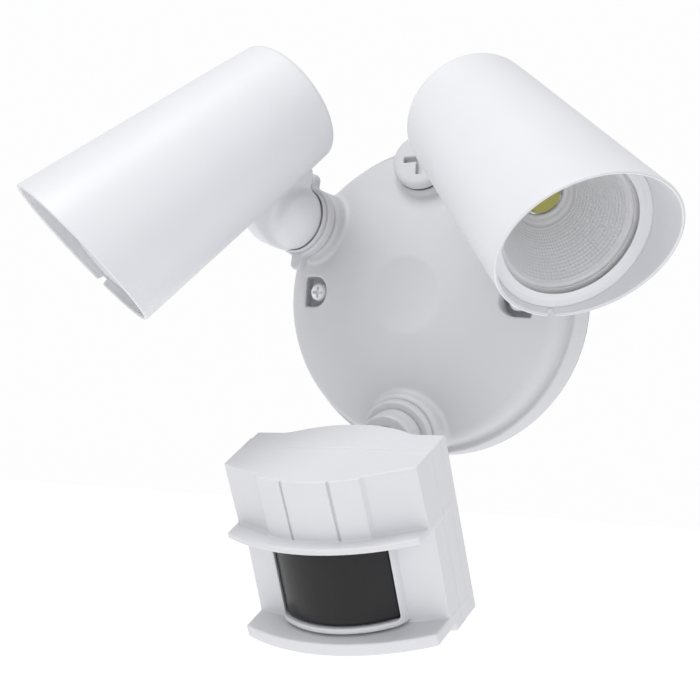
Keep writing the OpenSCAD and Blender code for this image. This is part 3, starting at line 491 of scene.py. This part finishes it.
def canopy_field(p):
    r, z = rad2(p), p[:, 2]

    def dome(d):
        cone = r - (FACE_R + 0.7 - 0.7 * (z - RIM_DEPTH) / (FACE_DEPTH - RIM_DEPTH)) + d
        ball = np.sqrt(r * r + (z - DOME_C) ** 2) - DOME_R + d
        rim = smax(r - CANOPY_R + d, z - RIM_DEPTH + d, 1.1)
        return smin(rim, smax(cone, ball, 3.0), 0.25)

    outer = dome(0)
    cavity = smax(dome(SHELL), -smax(r - DIMPLE_R - 2.5, dome_z(0) - 6.4 - z, 1), 1)
    body = smax(outer, -cavity, 0.4)
    row = p @ WALL[:3, :3].T
    for hub, size, top in (("left", BOSS_R, BOSS_TOP), ("right", BOSS_R, BOSS_TOP),
                           ("sensor", SENSOR_BOSS_R, BOSS_TOP), ("plug", PLUG_BOSS_R, 2.0)):
        q = into(HUB[hub], row)
        boss = smax(smax(rad2(q) - size, q[:, 2] - top + 0.2, 2.6), -9 - q[:, 2], 0.6)
        body = smin(body, boss, 2.2)
    floor = dome_z(BOX_X) - WELL_DEEP
    plan = d_shape(p)
    post = smax(smax(plan - 1.8, floor - 1.8 - z, 0.5), outer + 1, 0.3)
    body = np.minimum(body, post)
    for y in (-POST_Y, POST_Y):
        q = p - np.array([0, y, 0])
        body = np.minimum(body, smax(smax(rad2(q) - POST_R, POST_TOP - z, 0.4), outer + 1, 0.3))
    body = smax(body, -smax(plan, floor - z, 0.6), 1.0)
    hole = np.hypot(np.abs(p[:, 0]) - BOX_X, p[:, 1]) - BOX_HOLE_R
    body = smax(body, -hole, 0.3)
    for hub in HUB:
        q = into(HUB[hub], row)
        body = smax(body, BORE_R - rad2(q), 0.6)
    deep = dome_z(DIMPLE_R) + math.sqrt(DIMPLE_BALL ** 2 - DIMPLE_R ** 2)
    body = smax(body, DIMPLE_BALL - np.sqrt(r * r + (z - deep) ** 2), 0.5)
    return smax(body, 1.5 - z, 0.6)


solid("canopy", canopy_field, (-66, -66, 0), (66, 66, 60), 0.62, "base", "canopy_coat",
      MAT["canopy_coat"], WALL, ["canopy_cover"])


def plug_field(p):
    head = smax(smax(rad2(p) - 12, p[:, 2] - 6.9, 2.6), 2.8 - p[:, 2], 0.5)
    d = smin(head, rod(p, BORE_R - 0.05, -6, 3), 0.3)
    a = math.radians(8)
    x = p[:, 0] * math.cos(a) + p[:, 1] * math.sin(a)
    y = p[:, 1] * math.cos(a) - p[:, 0] * math.sin(a)
    cross = np.minimum(np.maximum(np.abs(x) - 6.8, np.abs(y) - 1.2),
                       np.maximum(np.abs(y) - 6.8, np.abs(x) - 1.2))
    d = smax(d, -smax(cross, 4.6 - p[:, 2], 0.3), 0.5)
    return smax(d, -rod(p, 7.5, -9, 1), 0.4)


solid("plug", plug_field, (-13, -13, -8), (13, 13, 8), 0.3, "base", "canopy_coat",
      MAT["canopy_coat"], HUB["plug"], ["hub_plug"])


def box_screw_field(p):
    """Both box screws: a long shank and a white domed head with a cross recess."""
    q = np.stack([np.abs(p[:, 0]) - BOX_X, p[:, 1], p[:, 2]], 1)
    floor = dome_z(BOX_X) - WELL_DEEP
    top = floor + BOX_HEAD_H
    head = smax(smax(rad2(q) - BOX_HEAD_R, q[:, 2] - top, 2.6), floor - q[:, 2], 0.3)
    cross = np.minimum(np.maximum(np.abs(q[:, 0]) - 2.2, np.abs(q[:, 1]) - 0.5),
                       np.maximum(np.abs(q[:, 1]) - 2.2, np.abs(q[:, 0]) - 0.5))
    head = smax(head, -smax(cross, top - 1.6 - q[:, 2], 0.3), 0.3)
    winding = q[:, 2] / BOX_PITCH + np.arctan2(q[:, 1], q[:, 0]) / (2 * math.pi)
    shank = rad2(q) - BOX_SHANK_R - THREAD_DEPTH * np.sin(2 * math.pi * winding)
    shank = smax(smax(shank, q[:, 2] - floor - 0.5, 0.3), BOX_SHANK_END - q[:, 2], 0.8)
    return np.minimum(head, shank * 0.8)


solid("box_screws", box_screw_field, (-50, -5, -15), (50, 5, 48), 0.26, "base", "screw_white",
      MAT["screw_white"], WALL, ["mounting_screws"])


# ---------------------------------------------------------------- lock nuts and arms

def nut_field(wing):
    """A lock nut: winged with a ball rim on a lamp, a plain ring on the sensor."""
    def field(p):
        r, z = rad2(p), p[:, 2]
        turn_to = math.radians(wing or 0)
        x = p[:, 0] * math.cos(turn_to) + p[:, 1] * math.sin(turn_to)
        y = p[:, 1] * math.cos(turn_to) - p[:, 0] * math.sin(turn_to)
        if wing is None:
            plan = r - NUT_R
        else:
            ear = np.hypot(np.maximum(np.abs(x) - WING_X, 0), y) - WING_HALF
            root = np.maximum(np.abs(y) - WING_HALF, 9 - np.abs(x))
            ear = np.where(np.abs(x) < WING_X, root, ear)
            plan = smin(r - NUT_R, ear, 1.6)
        d = extrude(plan, z, NUT_BOT, NUT_TOP, 0.9)
        if wing is None:
            return smax(d, STUB_R + GAP - r, 0.5)
        rim = extrude(r - CUP_R, z, BALL_CUT, CUP_TOP, 0.7)
        neck = smax(r - GROOVE_R, np.abs(z - BALL_CUT) - 1, 0.1)
        d = smin(np.minimum(d, neck), rim, 0.15)
        far = np.sqrt(r * r + (z - BALL_OUT) ** 2)
        return smax(smax(d, STUB_R + GAP - r, 0.5), BALL_R + GAP - far, 0.3)
    return field


for side, wing in (("left", -WING_TURN), ("right", WING_TURN), ("sensor", None)):
    reach, top = (16, NUT_TOP) if wing is None else (21.5, CUP_TOP)
    solid(side + "_nut", nut_field(wing), (-reach, -reach, NUT_BOT - 1), (reach, reach, top + 1),
          0.32, side + "_nut", SLOT_OF[side + "_locknut"], MAT[SLOT_OF[side + "_locknut"]],
          HUB[side], [side + "_locknut"])


def stub_field(p):
    """A hollow threaded stub whose end is the lower ring of the ball seat."""
    r, z = rad2(p), p[:, 2]
    winding = z / STUB_PITCH + np.arctan2(p[:, 1], p[:, 0]) / (2 * math.pi)
    thread = THREAD_DEPTH * np.sin(2 * math.pi * winding)
    d = smax(smax(r - STUB_R - thread + THREAD_DEPTH, STUB_END - z, 1.2), z - SEAT_TOP, 0.4)
    d = smax(d, BALL_R + GAP - np.sqrt(r * r + (z - BALL_OUT) ** 2), 0.2)
    d = smax(d, -smax(r - STUB_BORE_R, z, 0.4), 0.5)
    return smax(d, BOLT_R + 0.03 - r, 0.3)


for side in ("left", "right"):
    solid(side + "_stub", stub_field, (-11.5, -11.5, -9), (11.5, 11.5, 9), 0.34,
          side + "_arm", SLOT_OF[side + "_arm"], MAT[SLOT_OF[side + "_arm"]], HUB[side],
          [side + "_arm"])

cup = SEAT_OUT_R + GAP
lathe("sensor_neck", [
    (6.5, -8, 0), (STUB_R - 0.8, -8, 0.5), (STUB_R, -7, 0.4), (STUB_R, BALL_CUT, 0.2),
    (SARM_R, BALL_CUT, 0.5), (SARM_R, SCAP_Z - 0.05, 0.2),
    (math.sqrt(cup ** 2 - (SCAP_Z - SBALL_OUT) ** 2), SCAP_Z - 0.05, 0),
    (cup * 0.9, SBALL_OUT - cup * 0.436, 0), (6.5, SBALL_OUT - math.sqrt(cup ** 2 - 42.25), 0)],
    "sensor_arm", SLOT_OF["sensor_arm"], MAT[SLOT_OF["sensor_arm"]], HUB["sensor"], ["sensor_arm"])
mouth = math.sqrt((SBALL_R + GAP) ** 2 - (SMOUTH - SBALL_OUT) ** 2)
lathe("sensor_neck_cap", [
    (SBALL_R + GAP, SCAP_Z + 0.05, 0), (SARM_R, SCAP_Z + 0.05, 0.25), (SARM_R, SMOUTH, 0.9),
    (mouth, SMOUTH, 0.25), ((SBALL_R + GAP) * 0.97, SBALL_OUT + (SBALL_R + GAP) * 0.243, 0)],
    "sensor_arm", SLOT_OF["sensor_cap"], MAT[SLOT_OF["sensor_arm"]], HUB["sensor"], ["sensor_cap"])


# ---------------------------------------------------------------- lamp heads

def barrel_r(z):
    return RIM_R + TAPER * z


def barrel(side):
    """The barrel and hood as one turned shell whose mouth follows the sloping plane."""
    roll = math.radians(HOOD_ROLL)
    base = np.linspace(0, 2 * math.pi, 180, endpoint=False)
    base = base[np.abs(base - math.pi) > 0.11]
    phi = np.sort(np.concatenate([base, np.linspace(math.pi - 0.105, math.pi + 0.105, 29)]))
    c = np.cos(phi) * math.tan(math.radians(HOOD_SLOPE))
    mouth = RIM_R * c / (1 - TAPER * c)
    off = np.abs(phi - math.pi) * RIM_R
    notch = NOTCH_DEEP * np.clip((1.75 - off) / 0.5, 0, 1)
    mouth = mouth - notch
    rings = []

    def ring(r, z):
        rings.append((r + 0 * phi, z + 0 * phi))

    outer = rounded([(0, -HEAD_LEN, 0), (barrel_r(-HEAD_LEN) - 0.2, -HEAD_LEN, REAR_ROUND),
                     (barrel_r(-HEAD_LEN + 12), -HEAD_LEN + 12, 0)], 12)[1:-1]
    ring(6, -HEAD_LEN)
    ring(14, -HEAD_LEN)
    for r, z in outer:
        ring(r, z)
    for z in (*SIDE_RINGS, HOOD_START):
        ring(barrel_r(z), z)
    edge = RIM_WALL / 2
    for t in np.linspace(0.15, 1, 6):
        z = HOOD_START + (mouth - edge - HOOD_START) * t
        rings.append((barrel_r(z), z))
    for a in np.linspace(0, math.pi / 2, 5)[1:]:
        z = mouth - edge + edge * math.sin(a)
        rings.append((barrel_r(z) - edge * (1 - math.cos(a)), z))
    for a in np.linspace(0, math.pi / 2, 5):
        z = mouth - edge + edge * math.cos(a)
        rings.append((barrel_r(z) - RIM_WALL + edge * (1 - math.sin(a)), z))
    for t in np.linspace(0.1, 1, 10):
        z = (mouth - edge) * (1 - t) + SEAT_Z * t
        reach = np.maximum(mouth - edge - SEAT_Z - 4.8, 0.5)
        wall = RIM_WALL + (HOOD_WALL - RIM_WALL) * np.clip((mouth - edge - z) / reach, 0, 1)
        rings.append((barrel_r(z) - wall, z))
    for z in (-40, *SIDE_RINGS[::-1]):
        ring(barrel_r(z) - HOOD_WALL, z)
    inside = -HEAD_LEN + END_WALL
    inner = rounded([(barrel_r(SIDE_RINGS[0]) - HOOD_WALL, SIDE_RINGS[0], 0),
                     (barrel_r(-HEAD_LEN) - HOOD_WALL, inside, 6), (0, inside, 0)], 6)[1:-1]
    for r, z in inner:
        ring(r, z)
    ring(6, inside)
    r, z = np.array([a for a, _ in rings]), np.array([b for _, b in rings])
    at = phi - roll + math.pi / 2
    v = np.stack([r * np.cos(at), r * np.sin(at), z], -1).reshape(-1, 3).tolist()
    n, m = r.shape
    f = grid_faces(n, m)
    v += [[0, 0, -HEAD_LEN], [0, 0, inside]]
    f += [[len(v) - 2, (j + 1) % m, j] for j in range(m)]
    last = (n - 1) * m
    f += [[len(v) - 1, last + j, last + (j + 1) % m] for j in range(m)]
    return weighted(new_piece(side + "_hood", v, f, side + "_head", SLOT_OF[side + "_barrel"],
                              MAT[SLOT_OF[side + "_barrel"]], [side + "_barrel"], BARREL[side]))


# Outline of a lamp's web, forwards along the barrel and up to it, from the ball's centre
WEB = [(0, 0), (9.6, -9.5), (13, -6.2), (15.5, -3.2), (17.4, 0.6), (18.7, 5), (19.6, 10),
       (20.3, 14), (21.5, 17), (21.5, 30), (-15.4, 30), (-15.4, 14), (-14.6, 11.2), (-12.9, 9),
       (-10.9, 7.9)]


def foot_field(side):
    """The hollow ball of a lamp and the thin web that joins it to the barrel."""
    def field(p):
        x, y, z = p[:, 0], p[:, 1], p[:, 2]
        r, far = rad2(p), np.sqrt((p ** 2).sum(1))
        plan = poly2(WEB, -y, z)
        web = smax(plan, np.abs(x) - WEB_T, 1.6)
        across = np.hypot(x, z - AXIS_OFF) - barrel_r(-y - RIM_AHEAD)
        across = across / math.hypot(1, TAPER)
        d = smin(smin(far - BALL_R, web, 2.4), across, 2.6)
        d = smax(d, smin(smax(plan - 5, np.abs(x) - WEB_T - 5, 1.5), far - BALL_R, 1), 0.8)
        bump = np.sqrt((x - 2) ** 2 + (y + 25.2) ** 2 + (z - 17.4) ** 2) - 3
        d = np.minimum(d, bump)
        d = smax(d, -across - 0.35, 0.2)
        d = smax(d, BALL_R - BALL_WALL - far, 0.4)
        d = smax(d, -smax(r - WIRE_R, -z, 0.2), 0.3)
        q = into(HUB[side], p @ HEAD[side][:3, :3].T + HEAD[side][:3, 3])
        low, wide = BALL_OUT - BALL_R * math.cos(MOUTH_A), BALL_R * math.sin(MOUTH_A)
        mouth = (rad2(q) - wide + 1.125 * (q[:, 2] - low)) * 0.664
        return smax(d, -smax(mouth, q[:, 2] - low - 3.2, 0.3), 0.5)
    return field


def reflector(side):
    """A stepped, facetted reflector: rings of small cushions round plain rings at the LED."""
    z0, z1 = BOARD_Z + 1.8, SEAT_Z - 0.1
    r0, r1 = 8.2, LENS_R - 2.1
    rings, spokes, fine = 17, 96, 4
    cols = spokes * fine
    t = np.arange(cols) / cols * 2 * math.pi
    cell = np.abs(np.sin(t * spokes / 2))
    rows = []

    def wall(u):
        """Point on the bowl's inside, u from the LED to the mouth."""
        return r0 + (r1 - r0) * u, z0 + (z1 - z0) * u ** 1.25

    rows.append((r0 + 0 * t, z0 - 1 + 0 * t))
    plain = 0.20
    for u in np.linspace(0, plain, 7):
        r, z = wall(u)
        rows.append((r + 0 * t, z + 0.18 * math.sin(u / plain * 4 * math.pi) + 0 * t))
    for i in range(rings):
        for k in range(fine):
            u = plain + (0.965 - plain) * (i + (k + 1) / fine) / rings
            r, z = wall(u)
            swell = 0.32 * math.sin(math.pi * (k + 1) / fine) * cell
            rows.append((r - swell * 0.75, z + swell * 0.65))
    for u in (0.975, 1.0):
        r, z = wall(u)
        rows.append((r + 0 * t, z + 0 * t))
    edge = barrel_r(SEAT_Z - 1.6) - HOOD_WALL - GAP
    outer_low = 10.5
    for r, z in ((r1 + 0.3, z1 + 0.1), (edge, z1 + 0.1), (edge, z1 - 1.5), (LENS_R - 0.4, z1 - 1.6),
                 (outer_low, z0 - 1)):
        rows.append((r + 0 * t, z + 0 * t))
    r, z = np.array([a for a, _ in rows]), np.array([b for _, b in rows])
    v = np.stack([r * np.cos(t), r * np.sin(t), z], -1).reshape(-1, 3)
    f = grid_faces(len(rows), cols, closed_rows=True)
    f = [q[::-1] for q in f]
    return new_piece(side + "_bowl", v, f, side + "_head", SLOT_OF[side + "_reflector"],
                     MAT[SLOT_OF[side + "_reflector"]], [side + "_reflector"], BARREL[side])


def cob_field(p):
    z = p[:, 2] - BOARD_Z
    q = np.stack([p[:, 0], p[:, 1], z], 1)
    chip = slab(q, (-7, -7, -0.02), (7, 7, 1.0), 0.3)
    dam = smax(np.abs(rad2(q) - 7.4) - 0.35, np.abs(z - 0.9) - 0.4, 0.3)
    return np.minimum(chip, dam)


def pad_field(p):
    z = p[:, 2] - BOARD_Z
    q = np.stack([np.abs(p[:, 0]) - 5.6, np.abs(p[:, 1]) - 5.6, z], 1)
    return slab(q, (-0.9, -0.9, 0.9), (0.9, 0.9, 1.25), 0.15)


for side in ("left", "right"):
    body, place = side + "_head", BARREL[side]

    def slot_mat(node):
        return SLOT_OF[side + "_" + node], MAT[SLOT_OF[side + "_" + node]]

    barrel(side)
    solid(side + "_neck", foot_field(side), (-15, -30, -14.5), (15, 22, 31), 0.42, body,
          *slot_mat("foot"), HEAD[side], [side + "_foot"])
    reflector(side)
    wide = barrel_r(SEAT_Z) - HOOD_WALL - BEZEL_GAP
    top = barrel_r(SEAT_Z + 4.6) - HOOD_WALL - BEZEL_GAP
    lathe(side + "_trim_ring", [
        (LENS_R + 3, SEAT_Z, 0), (wide, SEAT_Z, 0.1), (top, SEAT_Z + 4.6, 0.1),
        (LENS_R + 2.6, SEAT_Z + 3.8, 1.2), (LENS_R, SEAT_Z + 3.3, 0.35),
        (LENS_R, SEAT_Z + 2.85, 0.2), (LENS_R + 3, SEAT_Z + 2.85, 0.1)],
        body, *slot_mat("bezel"), place, [side + "_bezel"], 160)
    lathe(side + "_glass", [
        (0, SEAT_Z + 0.8, 0), (LENS_R + 2.8, SEAT_Z + 0.8, 0.4), (LENS_R + 2.8, SEAT_Z + 2.8, 0.4),
        (0, SEAT_Z + 2.8, 0)], body, *slot_mat("lens"), place, [side + "_lens"], 160)
    solid(side + "_cob", cob_field, (-8, -8, BOARD_Z - 1), (8, 8, BOARD_Z + 3), 0.22, body,
          SLOT_OF[side + "_cob_led"], MAT["board_white"], place, [side + "_cob_led"])
    lathe(side + "_phosphor", [
        (0, BOARD_Z + 1, 0), (7.4, BOARD_Z + 1, 0), (7.2, BOARD_Z + 2.1, 0.5),
        (5.9, BOARD_Z + 3.6, 2), (3.0, BOARD_Z + 4.5, 3), (0, BOARD_Z + 4.7, 0)],
        body, SLOT_OF[side + "_cob_led"],
        MAT["cob_yellow"], place, (), 64, 6)
    solid(side + "_solder_pads", pad_field, (-8, -8, BOARD_Z), (8, 8, BOARD_Z + 2), 0.2, body,
          SLOT_OF[side + "_cob_led"], MAT["solder"], place)


# ---------------------------------------------------------------- sensor

def arc_points(radius, centre_y, half, count=28):
    """Points of the front arc from -half to half, front towards -y."""
    x = np.linspace(-half, half, count)
    return [(a, centre_y - math.sqrt(radius ** 2 - a * a)) for a in x]


BROW_PLAN = ([(HALF_W, SPLIT_Y + 8), (HALF_W, -SIDE_D), (22.9, -38.4)]
             + arc_points(FRONT_R, FRONT_R - FRONT_D, 21.8)[::-1]
             + [(-22.9, -38.4), (-HALF_W, -SIDE_D), (-HALF_W, SPLIT_Y + 8)])
LOW_PLAN = [(HALF_W, SPLIT_Y + 8), (HALF_W, -LOW_SIDE), (PIR_HALF + 2, -29), (-PIR_HALF - 2, -29),
            (-HALF_W, -LOW_SIDE), (-HALF_W, SPLIT_Y + 8)]
SHELF_PLAN = ([(HALF_W, SPLIT_Y + 8)] + arc_points(75, 75 - SHELF_FRONT, HALF_W)[::-1]
              + [(-HALF_W, SPLIT_Y + 8)])


def bay_plan(x, y, d):
    """Plan of the lens bay drawn out by d, with round corners."""
    front = np.hypot(x, y - (PIR_R - PIR_FRONT)) - PIR_R - d
    return smax(smax(front, np.abs(x) - PIR_HALF - d, 3.5), y + 24, 0.5)


def sensor_solid(p):
    """The closed outside of the sensor's front, back and ledges."""
    x, y, z = p[:, 0], p[:, 1], p[:, 2]
    lean = BROW_LEAN * np.clip(-z / BROW_Z, 0, 1)
    brow2 = poly2(BROW_PLAN, x, y - lean)
    groove = np.minimum(np.abs(x - 10), np.abs(x + 10)) - 0.5
    brow = extrude(brow2, z, -BROW_Z - 2, 0, 0.4)
    low = extrude(poly2(LOW_PLAN, x, y), z, -SHELF_Z - 2, -BROW_Z + 1, 0.7)
    shelf2 = poly2(SHELF_PLAN, x, y)
    ledge = extrude(shelf2, z, -BROW_Z - BROW_T, -BROW_Z, 0.6)
    shelf = extrude(shelf2, z, -SHELF_Z - SHELF_T, -SHELF_Z, 0.7)
    lip = extrude(bay_plan(x, y, 1.6), z, PIR_BOT - 2.6, PIR_TOP + 1.6, 1.1)
    d = smin(brow, low, 0.5)
    d = smax(d, -np.maximum(groove, -(brow2 + 0.9)), 0.25)
    d = smin(smin(d, ledge, 0.6), smin(shelf, lip, 0.6), 0.6)
    side = np.abs(x) - HALF_W
    bulge = np.hypot(x, y - (BACK_RISE - BACK_R)) - BACK_R
    rear2 = smin(np.maximum(side, y), bulge, 2.0)
    rear2 = smax(rear2, side, 1.2)
    rear = extrude(smax(rear2, SPLIT_Y - 4 - y, 0.5), z, -SENSOR_H, 0, 0.9)
    chin = slab(p, (-HALF_W, -20, -SENSOR_H), (HALF_W, SPLIT_Y + 4, -60), 0.9)
    return smin(np.minimum(d, chin), rear, 0.3)


def front_field(p):
    x, y, z = p[:, 0], p[:, 1], p[:, 2]
    d = sensor_solid(p)
    inside = d + SENSOR_WALL
    d = smax(d, y - SPLIT_Y + 0.03, 0.12)
    window = extrude(np.maximum(np.abs(x) - PIR_HALF, y + 29.5), z, PIR_BOT, PIR_TOP, 1.4)
    d = smax(d, -window, 0.4)
    hole = slab(p, (-PIR_HALF + 2, -40, PIR_BOT + 2), (PIR_HALF - 2, -20, PIR_TOP - 2), 0.5)
    return smax(smax(d, -hole, 0.3), -inside, 0.4)


def back_field(p):
    x, y, z = p[:, 0], p[:, 1], p[:, 2]
    d = sensor_solid(p)
    inside = d + SENSOR_WALL
    ends = np.minimum(np.abs(z + 10), np.abs(z + SENSOR_H - 13))
    corner = np.hypot(np.abs(x) - HALF_W + 7, ends)
    stem = np.hypot(x, z - STEM_Z)
    inside = smax(inside, 3.4 - corner, 0.4)
    inside = smax(inside, -np.maximum(stem - 9.6, BACK_RISE - SENSOR_WALL - 1 - y), 0.4)
    d = smax(smax(d, SPLIT_Y + 0.03 - y, 0.12), -inside, 0.4)
    d = smax(d, 1.7 - corner, 0.2)
    d = smax(d, -np.maximum(corner - 2.9, -3.4 - y), 0.3)
    d = smax(d, 4.25 - stem, 0.2)
    d = smax(d, -np.maximum(stem - 8.05, BACK_RISE - 0.8 - y), 0.3)
    dial = np.hypot(np.abs(x) - DIAL_X, y - DIAL_Y)
    d = smax(d, -np.maximum(dial - DIAL_R - 1.4, z + SENSOR_H - 1.4), 0.4)
    return smax(d, -np.maximum(dial - 2.4, z + SENSOR_H - 9), 0.2)


def lens_field(p):
    x, y, z = p[:, 0], p[:, 1], p[:, 2]
    front = np.hypot(x, y - (PIR_R - PIR_FRONT)) - PIR_R + 0.1
    d = extrude(smax(front, np.abs(x) - PIR_HALF + 0.1, 0.8), z, PIR_BOT + 0.1, PIR_TOP - 0.1, 1.3)
    d = smax(d, y + 29.6, 0.3)
    hollow = np.hypot(x, y - (PIR_R - PIR_FRONT)) - PIR_R + 1.4
    return smax(d, -smax(hollow, np.abs(x) - PIR_HALF + 1.5, 1), 0.3)


span = (-HALF_W - 1.5, -52, -SENSOR_H - 1.5)
solid("sensor_face", front_field, span, (HALF_W + 1.5, SPLIT_Y + 1, 1.5), 0.42, "sensor_head",
      SLOT_OF["sensor_front"], MAT["sensor_plastic"], SENSOR, ["sensor_front"])
solid("sensor_case", back_field, (span[0], SPLIT_Y - 1, span[2]),
      (HALF_W + 1.5, BACK_RISE + 1.5, 1.5), 0.5, "sensor_head", SLOT_OF["sensor_back"],
      MAT["sensor_plastic"], SENSOR, ["sensor_back"])
solid("sensor_window", lens_field, (-27, -44.5, PIR_BOT - 1), (27, -28, PIR_TOP + 1), 0.4,
      "sensor_head", SLOT_OF["pir_lens"], MAT["black_lens"], SENSOR, ["pir_lens"])


# ---------------------------------------------------------------- carried-over CAD nodes

for name, node in frame["nodes"].items():
    if node.hide_render:
        continue
    slot = SLOT_OF[name]
    node.data.materials.clear()
    node.data.materials.append(MAT["lens_seal" if "lens_gasket" in name else slot])
    weld = node.modifiers.new("weld", "WELD")
    weld.merge_threshold = 1e-6
    bevel = node.modifiers.new("edges", "BEVEL")
    bevel.width, bevel.segments, bevel.limit_method = 0.00018, 2, "ANGLE"
    bevel.angle_limit = math.radians(40)
    bevel.use_clamp_overlap = True
    for poly in node.data.polygons:
        poly.use_smooth = True
    weighted(node)


# ---------------------------------------------------------------- stage, light, camera

def stage_disc(name, radius, z, material):
    mesh = bpy.data.meshes.new(name)
    t = np.linspace(0, 2 * math.pi, 96, endpoint=False)
    v = [(radius * math.cos(a), radius * math.sin(a), z) for a in t]
    mesh.from_pydata(v, [], [list(range(96))])
    mesh.materials.append(material)
    piece = bpy.data.objects.new(name, mesh)
    bpy.context.scene.collection.objects.link(piece)
    return piece


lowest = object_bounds()[0].z
paint = finish("floor_paint", (0.95, 0.95, 0.955), 0.8, vary=0.005, patch=3, grain=60,
               depth=0.0004, glow=0.42)
stage_disc("floor", 14.0, lowest - 0.35, paint)

scene = bpy.context.scene
world = bpy.data.worlds.new("studio")
scene.world = world
world.use_nodes = True
tree = world.node_tree
sky = tree.nodes["Background"]
coord = tree.nodes.new("ShaderNodeTexCoord")
split = tree.nodes.new("ShaderNodeSeparateXYZ")
ramp = tree.nodes.new("ShaderNodeValToRGB")
tree.links.new(coord.outputs["Generated"], split.inputs["Vector"])
stretch = tree.nodes.new("ShaderNodeMapRange")
stretch.inputs["From Min"].default_value, stretch.inputs["From Max"].default_value = -1, 1
tree.links.new(split.outputs["Z"], stretch.inputs["Value"])
tree.links.new(stretch.outputs["Result"], ramp.inputs["Fac"])
stops = ((0.0, 0.45), (0.40, 0.60), (0.46, 0.985), (0.62, 0.985), (0.72, 0.6), (1.0, 0.6))
ramp.color_ramp.elements[0].position = stops[0][0]
ramp.color_ramp.elements[1].position = stops[-1][0]
for at, level in stops[1:-1]:
    ramp.color_ramp.elements.new(at)
for element, (at, level) in zip(ramp.color_ramp.elements, stops):
    element.position, element.color = at, (level, level, level * 1.01, 1)
tree.links.new(ramp.outputs["Color"], sky.inputs["Color"])
sky.inputs["Strength"].default_value = 1.0


def lamp(name, where, aim, size, watts, color=(1, 1, 1)):
    data = bpy.data.lights.new(name, "AREA")
    data.shape, data.size, data.energy, data.color = "DISK", size, watts, color
    light = bpy.data.objects.new(name, data)
    light.location = where
    light.rotation_mode = "QUATERNION"
    light.rotation_quaternion = (Vector(aim) - Vector(where)).to_track_quat("-Z", "Y")
    scene.collection.objects.link(light)
    return light


lamp("key_light", (-0.35, -0.75, 1.35), (0.0, -0.06, -0.02), 0.9, 17, (1.0, 1.0, 1.0))
lamp("fill_light", (1.3, -1.1, 0.35), (0.0, -0.06, 0.0), 1.2, 5, (0.97, 0.98, 1.0))

scene.view_settings.view_transform = "Standard"
scene.view_settings.look = "None"

lens_mm, sensor_mm = 143.528, 36.0
camera_data = bpy.data.cameras.new("photo_camera")
camera_data.sensor_width, camera_data.lens = sensor_mm, lens_mm
camera_data.clip_start, camera_data.clip_end = 0.05, 60
camera = bpy.data.objects.new("photo_camera", camera_data)
scene.collection.objects.link(camera)
right = Vector((0.896445, 0.437283, 0.071908))
up = Vector((-0.053144, -0.055014, 0.997070))
back = Vector((0.439957, -0.897640, -0.026079))
camera.matrix_world = Matrix((
    (right.x, up.x, back.x, 0.475541), (right.y, up.y, back.y, -1.060278),
    (right.z, up.z, back.z, -0.052952), (0, 0, 0, 1)))
scene.camera = camera
